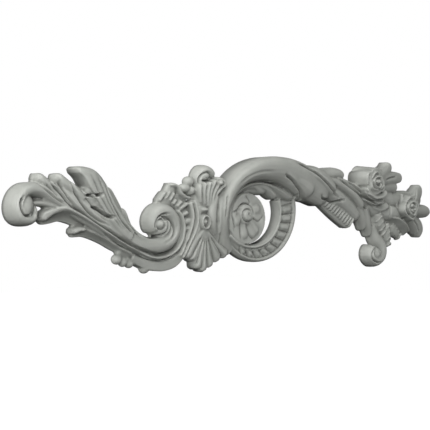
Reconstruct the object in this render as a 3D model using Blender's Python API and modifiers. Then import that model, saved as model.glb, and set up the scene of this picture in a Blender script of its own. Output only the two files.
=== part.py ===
"""Scroll onlay: one cast relief of acanthus leaf, volute, shell, ring scroll, fern and roses.

Frame: the flat back lies in the plane Y = 0 and the carving rises towards -Y.
X runs along the ornament, from the curled tip to the roses, and Z is up.
Lengths in the tables are millimetres. A station is (x, z, half width, crown height).
"""
import math
from typing import NamedTuple

import bmesh
import bpy
import numpy
from mathutils import Matrix, Vector

MM = 0.001
NAME = "scroll_onlay"

# Overall size, to which the finished carving is stretched
LENGTH = 637.5
HEIGHT = 130.0
DEPTH = 33.0

# Fineness of the blended skin, of the swept strokes and of the grooves
VOXEL = 1.3
SOFTEN_PASSES = 2
TRIANGLES = 9400
STATION_PITCH = 2.5
SECTION_POINTS = 9
GROOVE_PITCH = 0.5

# How far a form reaches behind the back plane, as a share of its height
FLOOR = -0.25

# Half width left at a rounded end as a share, thinnest stock under a groove, and width of a cup to its height
TIP_WIDTH = 0.08
GROOVE_FLOOR = 1.5
CUP_SQUEEZE = 0.9

# Apex of the shell's lower fan and the ends of its ribs
SHELL_ROOT = (-28.6, -13)
SHELL_TIPS = ((-49, -41.8), (-41, -44.6), (-33.6, -53), (-25.4, -55.6), (-15.8, -51.6), (-4.4, -45.4),
              (6.8, -40.6))

# Inner ridge and outer rim of the ring's flange, and the cells between them
RIDGE_CENTRE = (43.0, 3.0)
RIDGE_RADII = (43.5, 36.3)
RIM_CENTRE = (57.5, 6.0)
RIM_RADII = (61.2, 54.6)
CELLS = 10
CELL_START = -111.0
CELL_STEP = 12.6

# Disc inside the ring, its bud, and the angles of the seams between its petals
ROSETTE = (34.6, -3.5)
BUD = (31.5, 1.0)
SEAMS = (80, -10, -84, -132, 150)

# Hearts of the two roses and how far their petal rings are spread along the ornament
FIRST_ROSE = (245.0, 39.6)
SECOND_ROSE = (332.0, 8.8)
ROSE_SPREAD = 1.15


class Section(NamedTuple):
    """Shape across a stroke: its sides as shares of the crown height, its crest as one of the half width."""

    low_wall: float = 0.4
    high_wall: float = 0.4
    power: float = 2.0
    crest: float = 0.0


# The low wall is on the right of a stroke's direction and the high wall on its left, seen from the front
ROUND = Section()
TUBE = Section(0.25, 0.25, 2.2)
SPINE = Section(0.62, 0.62)
BAND = Section(0.6, 0.6, 2.8)
PLATE = Section(0.85, 0.85, 5.0)
CHANNEL = Section(0.8, 0.9, 4.0)
ARC = Section(0.48, 0.62, 2.2, crest=0.3)
FOLD = Section(0.5, 0.97, 2.2, crest=0.6)
RIGHT_COVE = Section(0.8, 0.3, 0.8, crest=-0.72)
LEFT_COVE = Section(0.3, 0.8, 0.8, crest=0.72)
RIGHT_CREST = Section(0.8, 0.3, 2.0, crest=-0.55)


def on_circle(centre, radius, degrees, stretch=1.0):
    """Point at an angle on a circle that may be stretched along X."""
    angle = math.radians(degrees)
    return (centre[0] + stretch * radius * math.cos(angle), centre[1] + radius * math.sin(angle))


def mix(a, b, share):
    """Value a share of the way from a to b."""
    return a + (b - a) * share


def smooth_path(stations, pitch=STATION_PITCH):
    """Catmull-Rom curve through the stations, sampled at an even pitch along the back plane."""
    points = [Vector(station) for station in stations]
    guarded = [2 * points[0] - points[1]] + points + [2 * points[-1] - points[-2]]
    dense = []
    steps = 16
    for before, start, end, after in zip(guarded, guarded[1:], guarded[2:], guarded[3:]):
        for step in range(steps):
            t = step / steps
            linear = (end - before) * t
            square = (2 * before - 5 * start + 4 * end - after) * t * t
            cubic = (3 * start - before - 3 * end + after) * t ** 3
            dense.append((2 * start + linear + square + cubic) / 2)
    dense.append(points[-1])
    run = [0.0]
    for near, far in zip(dense, dense[1:]):
        run.append(run[-1] + (far - near).xy.length)
    count = max(3, round(run[-1] / pitch))
    even = []
    place = 0
    for number in range(count + 1):
        distance = run[-1] * number / count
        while place < len(run) - 2 and run[place + 1] < distance:
            place += 1
        share = (distance - run[place]) / max(run[place + 1] - run[place], 1e-9)
        even.append((distance, dense[place].lerp(dense[place + 1], share)))
    return even, run[-1]


def cross_section(kind):
    """Closed outline across a stroke, as (side, height) shares of its half width and crown height."""
    outline = [(-1.0, FLOOR)]
    for number in range(SECTION_POINTS):
        side = -math.cos(math.pi * number / (SECTION_POINTS - 1))
        wall = kind.low_wall if side < kind.crest else kind.high_wall
        span = 1 + kind.crest if side < kind.crest else 1 - kind.crest
        from_crest = min(1.0, abs(side - kind.crest) / span)
        dome = (1 - from_crest ** kind.power) ** (1 / kind.power)
        outline.append((side, mix(wall, 1, dome)))
    return outline + [(1.0, FLOOR)]


def stroke(kind, stations, round_start=False, round_end=True, drop=0.4):
    """One raised stroke: a section swept along a path, with its ends rounded off."""
    path, total = smooth_path(stations)
    outline = cross_section(kind)

    def placing(number):
        """Matrix that sets the unit section at a station of the path."""
        distance, (x, z, width, height) = path[number]
        before = path[max(number - 1, 0)][1]
        after = path[min(number + 1, len(path) - 1)][1]
        along = (after - before).xy.normalized()
        ends = ((round_end, total - distance, stations[-1][2]), (round_start, distance, stations[0][2]))
        for rounded, to_end, reach in ends:
            if rounded and to_end < reach:
                share = math.sqrt(max(0.0, 1 - (1 - to_end / reach) ** 2))
                width *= max(share, TIP_WIDTH)
                height *= 1 - drop * (1 - share)
        return Matrix((
            (-along.y * width, 0, along.x, x),
            (0, -height, 0, 0),
            (along.x * width, 0, along.y, z),
            (0, 0, 0, 1),
        ))

    body = bmesh.new()
    bmesh.ops.create_circle(body, segments=len(outline), radius=1)
    placed = placing(0)
    for vert, (side, height) in zip(body.verts, outline):
        vert.co = placed @ Vector((side, height, 0))
    ring = list(body.edges)
    for number in range(1, len(path)):
        grown = bmesh.ops.extrude_edge_only(body, edges=ring)["geom"]
        ring = [item for item in grown if isinstance(item, bmesh.types.BMEdge)]
        moved = [item for item in grown if isinstance(item, bmesh.types.BMVert)]
        following = placing(number)
        bmesh.ops.transform(body, matrix=following @ placed.inverted(), verts=moved)
        placed = following
    bmesh.ops.holes_fill(body, edges=body.edges, sides=0)
    bmesh.ops.recalc_face_normals(body, faces=body.faces)
    return body


def bead(x, z, height, radius, deep=None, tall=None):
    """Rounded knob whose middle is at the given height."""
    body = bmesh.new()
    bmesh.ops.create_uvsphere(body, u_segments=20, v_segments=12, radius=1)
    size = Matrix.Diagonal((radius, deep or radius, tall or radius, 1))
    bmesh.ops.transform(body, matrix=Matrix.Translation((x, -height, z)) @ size, verts=body.verts)
    return body


def cup(centre, foot, rim, height, squeeze=CUP_SQUEEZE):
    """Tapered cup that stands on the back plane, squeezed along the ornament."""
    body = bmesh.new()
    depth = height * (1 - FLOOR)
    bmesh.ops.create_cone(body, cap_ends=True, segments=48, radius1=foot, radius2=rim, depth=depth)
    turned = Matrix.Rotation(math.radians(90), 4, "X")
    squeezed = Matrix.Diagonal((squeeze, 1, 1, 1))
    middle = Matrix.Translation((centre[0], -height * (1 + FLOOR) / 2, centre[1]))
    bmesh.ops.transform(body, matrix=middle @ squeezed @ turned, verts=body.verts)
    bmesh.ops.recalc_face_normals(body, faces=body.faces)
    return body


def fan(kind, root, tips, root_width, tip_width, root_height, tip_height, bow=0.0):
    """Strokes that spread from a root to a row of tips, each bowed to one side."""
    bodies = []
    for x, z in tips:
        middle_x = mix(root[0], x, 0.55) + bow * (z - root[1])
        middle_z = mix(root[1], z, 0.55) - bow * (x - root[0])
        bodies.append(stroke(kind, [
            (root[0], root[1], root_width, root_height),
            (middle_x, middle_z, mix(root_width, tip_width, 0.7), mix(root_height, tip_height, 0.5)),
            (x, z, tip_width, tip_height),
        ]))
    return bodies


def end_curl():
    """Curled tip at the narrow end, with its neck out of the leaf."""
    return [
        stroke(TUBE, [(-176, 3, 6, 15), (-190, 11, 6.6, 16), (-204, 18, 6.6, 16), (-215, 20.4, 6.2, 17),
                      (-224, 19.1, 6.2, 18), (-230, 14, 6.1, 19), (-232.4, 6.2, 6.2, 19),
                      (-230.4, -0.8, 6.1, 19), (-224.5, -4, 5.4, 18), (-218, -3, 4.6, 16.5),
                      (-215, 2.4, 3.6, 15)]),
        bead(-225.6, 7, 8, 9, 11, 12),
        bead(-215.4, 2, 8, 3.4, 6, 6),
        stroke(PLATE, [(-220, 13.4, 6, 7.5), (-205, 13, 6, 7.5), (-188, 8, 5, 10)]),
        stroke(SPINE, [(-218, 9.4, 2.2, 12), (-210, 9.8, 2.6, 12.5), (-202, 8.8, 2.6, 13),
                       (-192, 6, 2.4, 14)]),
    ]


def end_curl_grooves():
    """Grooves of the curled tip, each a path with its half width and depth."""
    return [
        ([(-229.6, 14.5), (-231.6, 11), (-232, 7), (-230.4, 2.4), (-227.6, -0.4), (-223.6, -0.4),
          (-221.2, 2)], 1.5, 4),
    ]


def left_leaf():
    """Broad acanthus leaf between the curled tip and the volute."""
    body = [
        stroke(SPINE, [(-206, 19, 8, 14), (-192, 15.4, 10, 15.5), (-176, 10, 12, 16.5), (-160, 3, 13, 17),
                       (-146, -5, 12.5, 17.5), (-130, -14, 10.5, 17.5), (-114, -22, 9.5, 17)]),
        stroke(ROUND, [(-188, 15, 4, 16), (-199, 22.4, 5, 15.6), (-208, 28.2, 5, 14.8),
                       (-212.4, 33.6, 4.2, 13)], drop=0.25),
        stroke(ROUND, [(-170, 14, 5, 17.5), (-180, 21.4, 5.8, 17), (-189, 27.6, 5.4, 16),
                       (-194.6, 33.8, 4.6, 14)], drop=0.25),
        stroke(ROUND, [(-158, 9, 5, 17), (-167, 15.4, 5.4, 16.5), (-175.4, 20.4, 5, 15),
                       (-181.4, 25.4, 4.4, 13)], drop=0.25),
        stroke(BAND, [(-150, 15, 3.4, 17), (-168, 21.4, 3.6, 17)], drop=0.1),
        stroke(BAND, [(-148, 7, 4.4, 18), (-159.6, 12.6, 4.4, 17.6)], drop=0.1),
        stroke(BAND, [(-134, -10, 4, 17), (-146, -6, 4, 16.6)], drop=0.1),
    ]
    folded = [
        stroke(FOLD, [(-118, -17, 7.4, 18), (-130, -7, 8.4, 18.5), (-140, 4, 9, 19.5),
                      (-147.8, 14.2, 9.6, 20), (-154.4, 23, 9.4, 20.5), (-159.6, 28.8, 9.2, 21),
                      (-164, 32.8, 7.8, 21), (-169.8, 36.2, 5.1, 20), (-177.6, 38.8, 2.2, 18)], drop=0.1),
        stroke(ROUND, [(-112, -21, 4.4, 14.5), (-126.2, -6.8, 6.4, 16), (-134.4, 6.4, 6.8, 15.5),
                       (-139.8, 16, 6.4, 14.5), (-143.6, 24.6, 4.8, 13)]),
        stroke(ROUND, [(-95.4, -24.6, 4.4, 14), (-102.4, -21.8, 4.6, 13), (-108.6, -18.6, 4.6, 12.4),
                       (-116.6, -11.8, 4.4, 12), (-120.4, -5.2, 4.2, 12), (-123, 1, 4.2, 11.5),
                       (-126, 6, 3.4, 10.5)]),
    ]
    lower = [
        stroke(SPINE, [(-196, 5, 2.4, 15), (-188, 5.6, 2, 17), (-180.4, 2.9, 2, 17.6),
                       (-170.4, -1.7, 2, 17.6), (-155, -9.8, 2, 17.4), (-142, -17.2, 2, 17),
                       (-127, -24.5, 2, 16), (-112, -31, 2, 15)]),
        stroke(RIGHT_COVE, [(-106, -36, 2.6, 11.5), (-128, -27, 3, 13.5), (-148, -16.4, 3.6, 15),
                            (-164, -8, 4.4, 16), (-177, -2.6, 5, 16.5), (-188, 0.2, 5.6, 17),
                            (-198, -1, 6.2, 16), (-208.4, -4.2, 5, 14)], drop=0.25),
        stroke(ROUND, [(-190, 4.4, 3, 15), (-198, 2.8, 3.6, 14.5), (-204, -0.8, 4, 13.5),
                       (-207.6, -5.2, 3.2, 12)]),
        stroke(RIGHT_COVE, [(-106, -39.4, 2, 9), (-130, -29.4, 2.4, 11), (-143, -23, 2.5, 12),
                            (-154, -18.4, 2.8, 12.5), (-162, -15.6, 3.4, 12.5), (-169, -14.2, 4.6, 12.5),
                            (-177.4, -15.2, 4.4, 12)], drop=0.25),
        stroke(ROUND, [(-166, -12, 2.6, 13), (-172.6, -12.6, 3.2, 12.5), (-178, -15.4, 3, 11)]),
        stroke(PLATE, [(-100, -38, 5, 6), (-112, -36, 4.4, 6), (-128, -31.5, 4, 7)]),
    ]
    return body + folded + lower


def leaf_grooves():
    """Long veins of the leaf and the slots beside its fold."""
    return [
        ([(-203, 33), (-201, 25), (-194, 18.4), (-186.7, 10.9), (-179.7, 5.8), (-169.7, 0.8), (-158, -6),
          (-145, -13), (-131, -20.8), (-117, -28)], 1.7, 4),
        ([(-216, 27), (-211, 23), (-205, 18.6), (-197.3, 13.4), (-188, 8.6)], 1.4, 1.8),
        ([(-207, 25), (-201.4, 20), (-195, 14.4)], 1.2, 1.2),
        ([(-194, 30), (-191, 21.6), (-185.7, 14), (-179, 7.4), (-171, 2.6)], 1.5, 2.6),
        ([(-183, 33), (-181.4, 23), (-176.4, 14), (-169.6, 5.6), (-160, -2), (-146, -9)], 1.6, 2.8),
        ([(-174, 24), (-169.6, 16), (-163, 8), (-156, 1), (-146, -6)], 1.3, 1.6),
        ([(-168, 16.4), (-163.6, 16.8), (-159.4, 16.6), (-154, 17.6)], 1.6, 7),
        ([(-163, 6.6), (-158, 5.4), (-151, 1), (-145, -1.6), (-140, -1.6)], 1.8, 7),
        ([(-166.4, 33), (-161.4, 25.1), (-154.8, 14.4), (-144.5, 0.9), (-131, -12.4)], 1.5, 1.3),
        ([(-159, 34), (-154, 23.6), (-147.4, 11.6), (-138.4, -1.4), (-124, -15)], 1.5, 1.3),
        ([(-149, 27), (-146.4, 18), (-140.6, 7), (-131.4, -5), (-117, -18)], 1.5, 2.8),
        ([(-131.8, 10), (-127.4, 0), (-119.6, -10.4), (-107, -20)], 1.4, 2.2),
        ([(-150, -14.6), (-138, -21), (-124, -28), (-110, -34)], 1.4, 2.4),
    ]


def volute():
    """Large volute that the leaf's stem runs into, with its rib, flange and lower beads."""
    spiral = stroke(TUBE, [(-134, -11.8, 9, 17.6), (-121, -20.6, 8.8, 17.4), (-109, -26, 8.4, 17),
                           (-97, -28, 8.2, 16.6), (-84.6, -28.4, 8.4, 16.6), (-73, -25, 8.6, 16.8),
                           (-65.8, -16.4, 8.4, 17), (-66, -5.6, 8.4, 17), (-73, 1.8, 8, 17),
                           (-82.6, 3, 7.8, 16.8), (-89.4, -3.4, 8, 16.4), (-89.2, -10.4, 7.6, 16),
                           (-85.4, -14.6, 6.4, 15.4)])
    fill = [bead(-79.6, -9.4, 4, 13, 12.6, 13.4), bead(-84.8, -8.4, 12, 3.8, 6, 4)]
    rib = stroke(SPINE, [(-127, -24.5, 2, 16), (-108.6, -32.2, 2, 14.4), (-96, -37.5, 2, 14),
                         (-84, -39.4, 2, 13.6), (-71.4, -37.2, 2, 13.6), (-61.4, -31.8, 2, 13.6),
                         (-55, -23.5, 2, 13.4), (-52.4, -12.2, 1.9, 13.4), (-54.6, -1.9, 1.7, 13),
                         (-59.6, 5, 1.5, 12)])
    flange = stroke(CHANNEL, [(-112, -38.5, 4, 8), (-98, -43.6, 4.8, 8), (-86, -46.4, 5, 9),
                              (-74, -47, 5, 9.5), (-62, -43.4, 5.2, 10), (-52.5, -33.8, 5.2, 10.5),
                              (-48, -19, 5, 11), (-49, -2, 5, 11)])
    beads = [
        bead(-127.6, -39.2, 4.4, 5.4, 4.6, 4.8),
        bead(-120.6, -41.6, 4, 4.8, 4.4, 4.8),
        bead(-113.6, -43.2, 4, 4.8, 4.4, 4.6),
        bead(-95.4, -48.8, 3.4, 5.8, 4.4, 4.8),
    ]
    thin_stem = stroke(ROUND, [(-118, -39.6, 3, 8), (-107, -43, 2.6, 8), (-96, -47.4, 2.4, 8),
                               (-84, -49, 2.4, 8)])
    return [spiral, rib, flange, thin_stem] + fill + beads


def volute_grooves():
    """Spiral groove of the volute, its eye and the grooves that set off the rib."""
    eye = (-84.8, -8.4)
    return [
        ([(-90, -13.6), (-91.4, -9), (-90.6, -5.4), (-88.3, -2.3), (-85.1, 0), (-80.7, 1.1),
          (-76, 1.4)], 1.5, 3.2),
        ([(-83.4, -1.8), (-80.2, -3.2), (-76.8, -6), (-75.9, -10.1), (-76.9, -14.2), (-79.8, -17),
          (-85, -18.6), (-91.3, -19.2), (-97, -18.4)], 1.5, 3.4),
        ([(-82, -18.6), (-88, -19.8), (-94, -20), (-101, -18.4)], 1.9, 9),
        ([(-86.3, -0.6), (-80.7, -1.4), (-77, -3.2), (-72.7, -5.5), (-69.8, -9.2), (-68.8, -13),
          (-69.4, -17.6), (-72.4, -22.2)], 1.5, 2.6),
        ([on_circle(eye, 4.8, turn) for turn in range(0, 361, 30)], 1.2, 2.2),
        ([(-82, -26), (-73.6, -22.6), (-67.6, -15.6), (-67, -7.6)], 1.6, 0.8),
        ([(-131, -19.6), (-117, -27), (-106.6, -31), (-96.1, -33.9), (-84.1, -35.5), (-72.4, -33.2),
          (-62.4, -27), (-58.4, -18.7), (-56.8, -9.4), (-58.6, -0.6), (-62, 6)], 1.8, 4.2),
        ([(-112, -34.4), (-104.4, -37), (-92.7, -40.6), (-82, -42.2), (-69.6, -40.6), (-58, -34.9),
          (-51.4, -26), (-49, -14)], 1.5, 2.4),
    ]


def ear():
    """Fluted ear that rises from the volute's top, and the flutes down to the shell."""
    flutes = [
        [(-82, 12, 1.9, 10), (-76, 18.4, 2, 10), (-72, 22.4, 1.9, 10.2)],
        [(-75, 13.6, 1.9, 10.5), (-70.6, 19, 1.9, 10.6), (-67.2, 22.8, 1.7, 11)],
        [(-69.6, 12, 1.7, 11), (-65.4, 18.6, 1.8, 11.6), (-62.4, 21, 1.6, 12)],
        [(-66, 9, 1.8, 11), (-60.4, 15.8, 1.9, 12)],
        [(-61.8, 7, 2.2, 11.6), (-53.6, 14, 2.2, 12.6)],
        [(-58.6, 4.6, 2.2, 12), (-46.4, 12, 2.4, 13)],
        [(-57.4, -1.4, 2.4, 12), (-46.4, 3, 2.6, 13.4)],
        [(-55, -8.4, 3.2, 12), (-43.6, -4.6, 3.4, 13.6)],
        [(-55, -15, 2.4, 12), (-44.6, -12, 2.6, 13.6)],
        [(-56, -26, 4.4, 12), (-47, -22, 4.8, 13.4)],
        [(-60, -36, 3.4, 11), (-51, -34, 3.4, 12.4)],
    ]
    return [stroke(SPINE, flute, round_start=True) for flute in flutes] + [
        stroke(SPINE, [(-77.4, 2, 8, 11), (-72.4, 11, 7.4, 9.6), (-67.6, 18.4, 6.4, 9.6),
                       (-64.4, 25.4, 5.6, 9.6), (-63.2, 29.8, 3.6, 9)], drop=0.2),
        stroke(SPINE, [(-68.6, 27.8, 2, 9.6), (-65, 28.4, 2, 11.6), (-61.2, 27.4, 2, 12.6),
                       (-58.8, 25.4, 2, 13.2), (-57.2, 21.8, 2, 13.4), (-54.6, 19.4, 2, 13.6),
                       (-50.6, 17, 1.9, 13.8), (-44.6, 16.2, 1.8, 14)]),
        stroke(PLATE, [(-74, 6, 7, 7.5), (-64, 11, 7.4, 8), (-55, 9, 8, 9), (-49, -6, 7, 9.5),
                       (-51, -20, 7, 9.5), (-55, -34, 6, 8.5)]),
    ]


def shell():
    """Shell cartouche between the volute and the ring, with rolled top, flutes and medallion."""
    upper = [
        [(-33, 12, 1.8, 15), (-34.4, 23.8, 2.4, 16.5), (-33.4, 31, 2.6, 16.5)],
        [(-27.8, 11, 1.8, 15.5), (-29.4, 23, 2.4, 16.8), (-27, 32.4, 2.6, 16.8)],
        [(-24.4, 9, 1.8, 16), (-24.8, 21, 2.4, 17.4), (-20.6, 33.8, 2.8, 17)],
        [(-22.6, 10, 1.7, 17), (-21, 23, 2.2, 18), (-13.6, 35, 2.8, 17.4)],
        [(-21, 9, 1.6, 18), (-17.6, 20.6, 2.2, 18.4), (-9.4, 32.6, 2.8, 18.4)],
        [(-18.4, 13, 1.6, 18), (-13, 21.6, 2.1, 18.6), (-5, 28.6, 2.8, 19)],
    ]
    crescents = [
        [(-13, -18, 3, 15), (-18, -8, 5.4, 18.5), (-19, 3, 6.2, 19.5), (-16.4, 13, 5.4, 19),
         (-11.6, 20.6, 3.4, 18)],
        [(-6.4, -18, 2.6, 14), (-7.8, -6, 3.6, 17), (-8, 4, 4, 18), (-6, 14, 3.2, 17.5),
         (-1, 22, 2.2, 17)],
        [(-0.6, -18, 2, 13), (-1.4, -4, 2.6, 16), (-1, 8, 2.6, 17), (3, 19, 2, 17)],
    ]
    roll = [
        stroke(TUBE, [(-33, 4, 6, 13), (-31, 16, 7, 13.5), (-29.4, 28, 7.6, 14), (-28.2, 37.2, 8.2, 14.6),
                      (-23.4, 42.4, 6.8, 15), (-16.6, 41, 5.2, 15), (-14.6, 36.4, 3.6, 14.4)], drop=0.25),
        bead(-25.4, 37.6, 11, 4.2, 4.6, 2.8),
        bead(-42, 32, 5, 5.8, 6, 5.2),
        bead(-47.6, 25.6, 5, 6.6, 6.4, 4.4),
        bead(-40.4, 23.4, 4, 5, 8, 5),
        bead(-10.6, 31.4, 18, 2.6, 3.4, 2.6),
        stroke(SPINE, [(-15, 35.4, 1.8, 18.5), (-8.6, 34.8, 2.4, 20), (-4.4, 30.6, 2.6, 20.4),
                       (-5.4, 25.4, 2.6, 19.6)], round_start=True),
        stroke(PLATE, [(-30, 31, 4, 10), (-22, 32.4, 4, 10), (-12, 32, 4, 10)]),
    ]
    medallion = [
        bead(-28.4, -4.6, 6.5, 7, 9.5, 12),
        bead(-26, 9, 8, 7, 6, 8.6),
        stroke(SPINE, [on_circle((-28.8, -7), 6.2, angle, 0.8) + (1.5, 18.6) for angle in range(-90, 271,
                                                                                                30)],
               round_end=False),
        bead(-29.4, -6.6, 14, 2.4, 4.6, 2.9),
        stroke(SPINE, [(-34, 3.6, 2, 16.5), (-29, 5.4, 2.2, 18), (-24, 4, 2, 16.5)], round_start=True),
    ]
    wing = [
        stroke(SPINE, [(-41.5, 14, 1.8, 16), (-39.2, 4.8, 1.8, 17.5), (-38.8, -7, 1.8, 17.5),
                       (-41.8, -16.2, 1.8, 17), (-46.6, -26, 1.8, 15.5), (-51, -35, 1.8, 14),
                       (-54.4, -42, 1.7, 12)]),
        stroke(SPINE, [(-45.6, 12, 2, 15), (-43.4, 0, 2, 16), (-45, -10, 2, 16), (-48.4, -20, 2, 15),
                       (-53, -31, 2, 13.5), (-57.6, -40, 2, 12)]),
        stroke(PLATE, [(-34, 8, 9, 14), (-33, -12, 9, 14), (-33, -28, 11, 13), (-31, -38, 12, 11)]),
        stroke(PLATE, [(-22, 28, 6, 13), (-16, 16, 8, 14), (-13, -4, 9, 14), (-14, -28, 8, 12),
                       (-8, -34, 7, 11)]),
    ]
    ribs = [stroke(SPINE, path) for path in upper + crescents]
    return roll + medallion + wing + ribs + fan(SPINE, SHELL_ROOT, SHELL_TIPS, 2.2, 5.6, 16.5, 13, 0.05)


def shell_grooves():
    """Grooves of the rolled top, the medallion and the wing."""
    between = []
    for tip, following in zip(SHELL_TIPS, SHELL_TIPS[1:]):
        gap = (mix(tip[0], following[0], 0.5), mix(tip[1], following[1], 0.5))
        line = [(mix(SHELL_ROOT[0], gap[0], share), mix(SHELL_ROOT[1], gap[1],
                                                        share)) for share in (0.25, 0.6, 1)]
        between.append((line, 1.4, 2.2))
    return between + [
        ([(-34, 30), (-33, 36.4), (-29, 40.2), (-24.9, 41.4), (-21.5, 40.3), (-19.6, 36.8)], 1.4, 3.2),
        ([(-31.4, 33.2), (-24, 33), (-16.6, 33.6)], 1.5, 4),
        ([(-33, 0.8), (-28.4, 1.6), (-24.2, 1)], 1.1, 0.6),
        ([(-42.8, 10), (-41.4, 0), (-42, -8), (-44.8, -17), (-49.6, -27), (-53.6, -36.5)], 1.2, 2.4),
        ([(-37.6, 12), (-36.6, 2), (-36.8, -9), (-39.6, -17), (-44.4, -26), (-48.8, -34.6),
          (-52.4, -43)], 1.4, 3.4),
        ([(-11.4, 19), (-11, 9.8), (-11.6, 0), (-9.4, -10)], 1.3, 2.6),
        ([(-3, 20), (-4, 9), (-3.8, -4)], 1.2, 2.2),
    ]


def on_ring(degrees, share):
    """Point of the open ring's flange, a share of the way from its ridge to its rim."""
    angle = math.radians(degrees)
    centre = Vector(RIDGE_CENTRE).lerp(Vector(RIM_CENTRE), share)
    radii = Vector(RIDGE_RADII).lerp(Vector(RIM_RADII), share)
    return (centre.x + radii.x * math.cos(angle), centre.y + radii.y * math.sin(angle))


def lane(share, start_width, end_width, height):
    """Stations of a strip that runs round the flange and widens from the underside to the right."""
    stations = []
    for angle in range(-140, 21, 10):
        width = mix(start_width, end_width, (angle + 140) / 160)
        stations.append(on_ring(angle, share) + (width, height))
    return stations


def ring_scroll():
    """C-scroll ring: the deep arc, its inner rib, the channel with its ridge and the flange of cells."""
    arc = stroke(ARC, [(16, -35, 8, 9), (5, -24, 8, 13), (0, -11, 7.6, 17), (-1.4, 2, 7.4, 20),
                       (1, 14, 7.6, 22.5), (6.4, 24.6, 8.2, 24.5), (14.6, 33.4, 9, 26.5),
                       (27, 40.8, 9.8, 28), (41.5, 45.4, 11.2, 28.6), (58, 47.6, 12.8, 28.6),
                       (75, 47.6, 14, 28.4), (93, 44.6, 16.2, 27.6), (113, 38.6, 18.2, 26.4),
                       (133, 32.6, 17.8, 24.6), (150, 26, 16, 22.6), (166, 18, 12, 19)])
    rib = stroke(SPINE, [(17, -24, 1.7, 11), (11.4, -10, 1.7, 14), (8.6, 1, 1.7, 14.5), (10, 10, 1.7, 15),
                         (14.2, 18, 1.7, 15.5), (21.4, 24.6, 1.7, 15.5), (31.8, 29.4, 1.7, 16),
                         (43.6, 32, 1.7, 16), (57, 32.2, 1.7, 16), (70, 30, 1.7, 16.5),
                         (82, 26.2, 1.7, 16.5), (95, 22, 1.7, 15.5)])
    inside = stroke(PLATE, [(18, -22, 7, 9.5), (14, -8, 6, 10), (14, 6, 6, 10), (20, 18, 6, 10),
                            (33, 24, 5, 10)])
    ridge = stroke(SPINE, lane(0, 2, 2, 13.5), round_end=False)
    channel = stroke(CHANNEL, lane(0.06, 3.7, 3.7, 10.5), round_end=False)
    base = stroke(BAND, lane(0.3, 5, 9, 7.5), round_end=False)
    field = stroke(BAND, lane(0.56, 4.4, 13.4, 8.6), round_end=False)
    lip = stroke(ROUND, lane(0.84, 2.2, 5, 10), round_end=False)
    cells = []
    for number in range(CELLS):
        angle = CELL_START + CELL_STEP * number
        width = mix(3.2, 4, number / (CELLS - 1))
        near = on_ring(angle, 0.18) + (width, 11)
        far = on_ring(angle, 0.68) + (width, 10.4)
        cells.append(stroke(BAND, [near, far], round_start=True, drop=0.15))
    return [arc, rib, inside, ridge, channel, base, field, lip] + cells


def ring_grooves():
    """Grooves beside the inner rib, beside the ridge, between the cells and round the pad of each."""
    between = []
    for number in range(-1, CELLS):
        angle = CELL_START + CELL_STEP * (number + 0.5)
        between.append(([on_ring(angle, 0.1), on_ring(angle, 0.45), on_ring(angle, 0.84)], 1.4, 1.1))
    pads = []
    for number in range(CELLS):
        angle = CELL_START + CELL_STEP * number
        corners = [
            on_ring(angle - 3, 0.28),
            on_ring(angle + 3, 0.28),
            on_ring(angle + 3.4, 0.6),
            on_ring(angle - 3.4, 0.6),
        ]
        pads.append((corners + corners[:1], 0.8, 0.5))
    return between + pads + [
        ([(10.4, -16), (6, -5), (4.6, 3), (6.4, 11), (10.6, 19.6), (18.4, 26.6), (30.2, 31.8), (43, 34.6),
          (58.4, 35), (73, 32.8), (88, 28)], 1.7, 3.4),
        ([(15, -12), (12.2, 0), (13.2, 9), (17.4, 15.6), (25, 21), (34, 25)], 1.5, 3),
        ([on_ring(angle, 0.09) for angle in range(-125, 26, 10)], 1.3, 1.6),
        ([on_ring(angle, 0.72) for angle in range(-125, 16, 10)], 1.1, 1),
        ([(8, 28.6), (18, 36.4), (30, 41.6), (44, 44.4), (60, 45)], 2, 0.7),
    ]


def rosette():
    """Flat disc inside the ring, with a raised spiral bud and five petals."""
    petals = []
    for seam, following in zip(SEAMS, SEAMS[1:] + (SEAMS[0] - 360,)):
        middle = (seam + (following if following < seam else following - 360)) / 2
        root = on_circle(BUD, 8, middle) + (7, 13.6)
        belly = on_circle(ROSETTE, 17, middle) + (9, 14.6)
        edge = on_circle(ROSETTE, 25.4, middle) + (8, 13)
        petals.append(stroke(ROUND, [root, belly, edge]))
    return petals + [cup(ROSETTE, 26.2, 25.8, 12.8, 1.048), bead(BUD[0], BUD[1], 9, 11.4, 9, 12.4)]


def rosette_grooves():
    """Spiral of the bud and the swept seams of the petals."""
    spiral = [on_circle(BUD, mix(2.6, 12, turn / 20), 30 * turn - 60, 1.1) for turn in range(21)]
    seams = []
    for seam in SEAMS:
        swept = [
            on_circle(BUD, 10.5, seam - 12),
            on_circle(ROSETTE, 17, seam),
            on_circle(ROSETTE, 23.6, seam + 16),
        ]
        seams.append((swept, 1.6, 1.2))
    return seams + [(spiral, 1.4, 2.8), ([(BUD[0] - 0.6, BUD[1]), BUD, (BUD[0] + 0.6, BUD[1])], 1.8, 2.4)]


def inner_leaf():
    """Leaf under the arc, whose scalloped edge closes the top of the ring."""
    return [
        stroke(ROUND, [(20, 21.5, 4, 11), (34, 26.5, 5, 11.5), (50, 27.2, 6.4, 12), (68, 28, 6.6, 12.5),
                       (88, 25.4, 9, 13.5), (106, 23, 7, 14)]),
        stroke(ROUND, [(28, 27, 2.6, 13), (44, 29.4, 3.4, 14), (55, 25.8, 4.8, 14), (64, 24.4, 3.6, 12)]),
        stroke(ROUND, [(45, 31, 3, 14), (62, 28.4, 4.6, 15), (74, 22.4, 5, 14.5), (82, 18.4, 3.6, 12)]),
        stroke(ROUND, [(66, 31, 4, 15), (84, 26, 6, 15.5), (98, 20.8, 5.4, 15), (108, 18.4, 3.8, 13)]),
    ]


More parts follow.
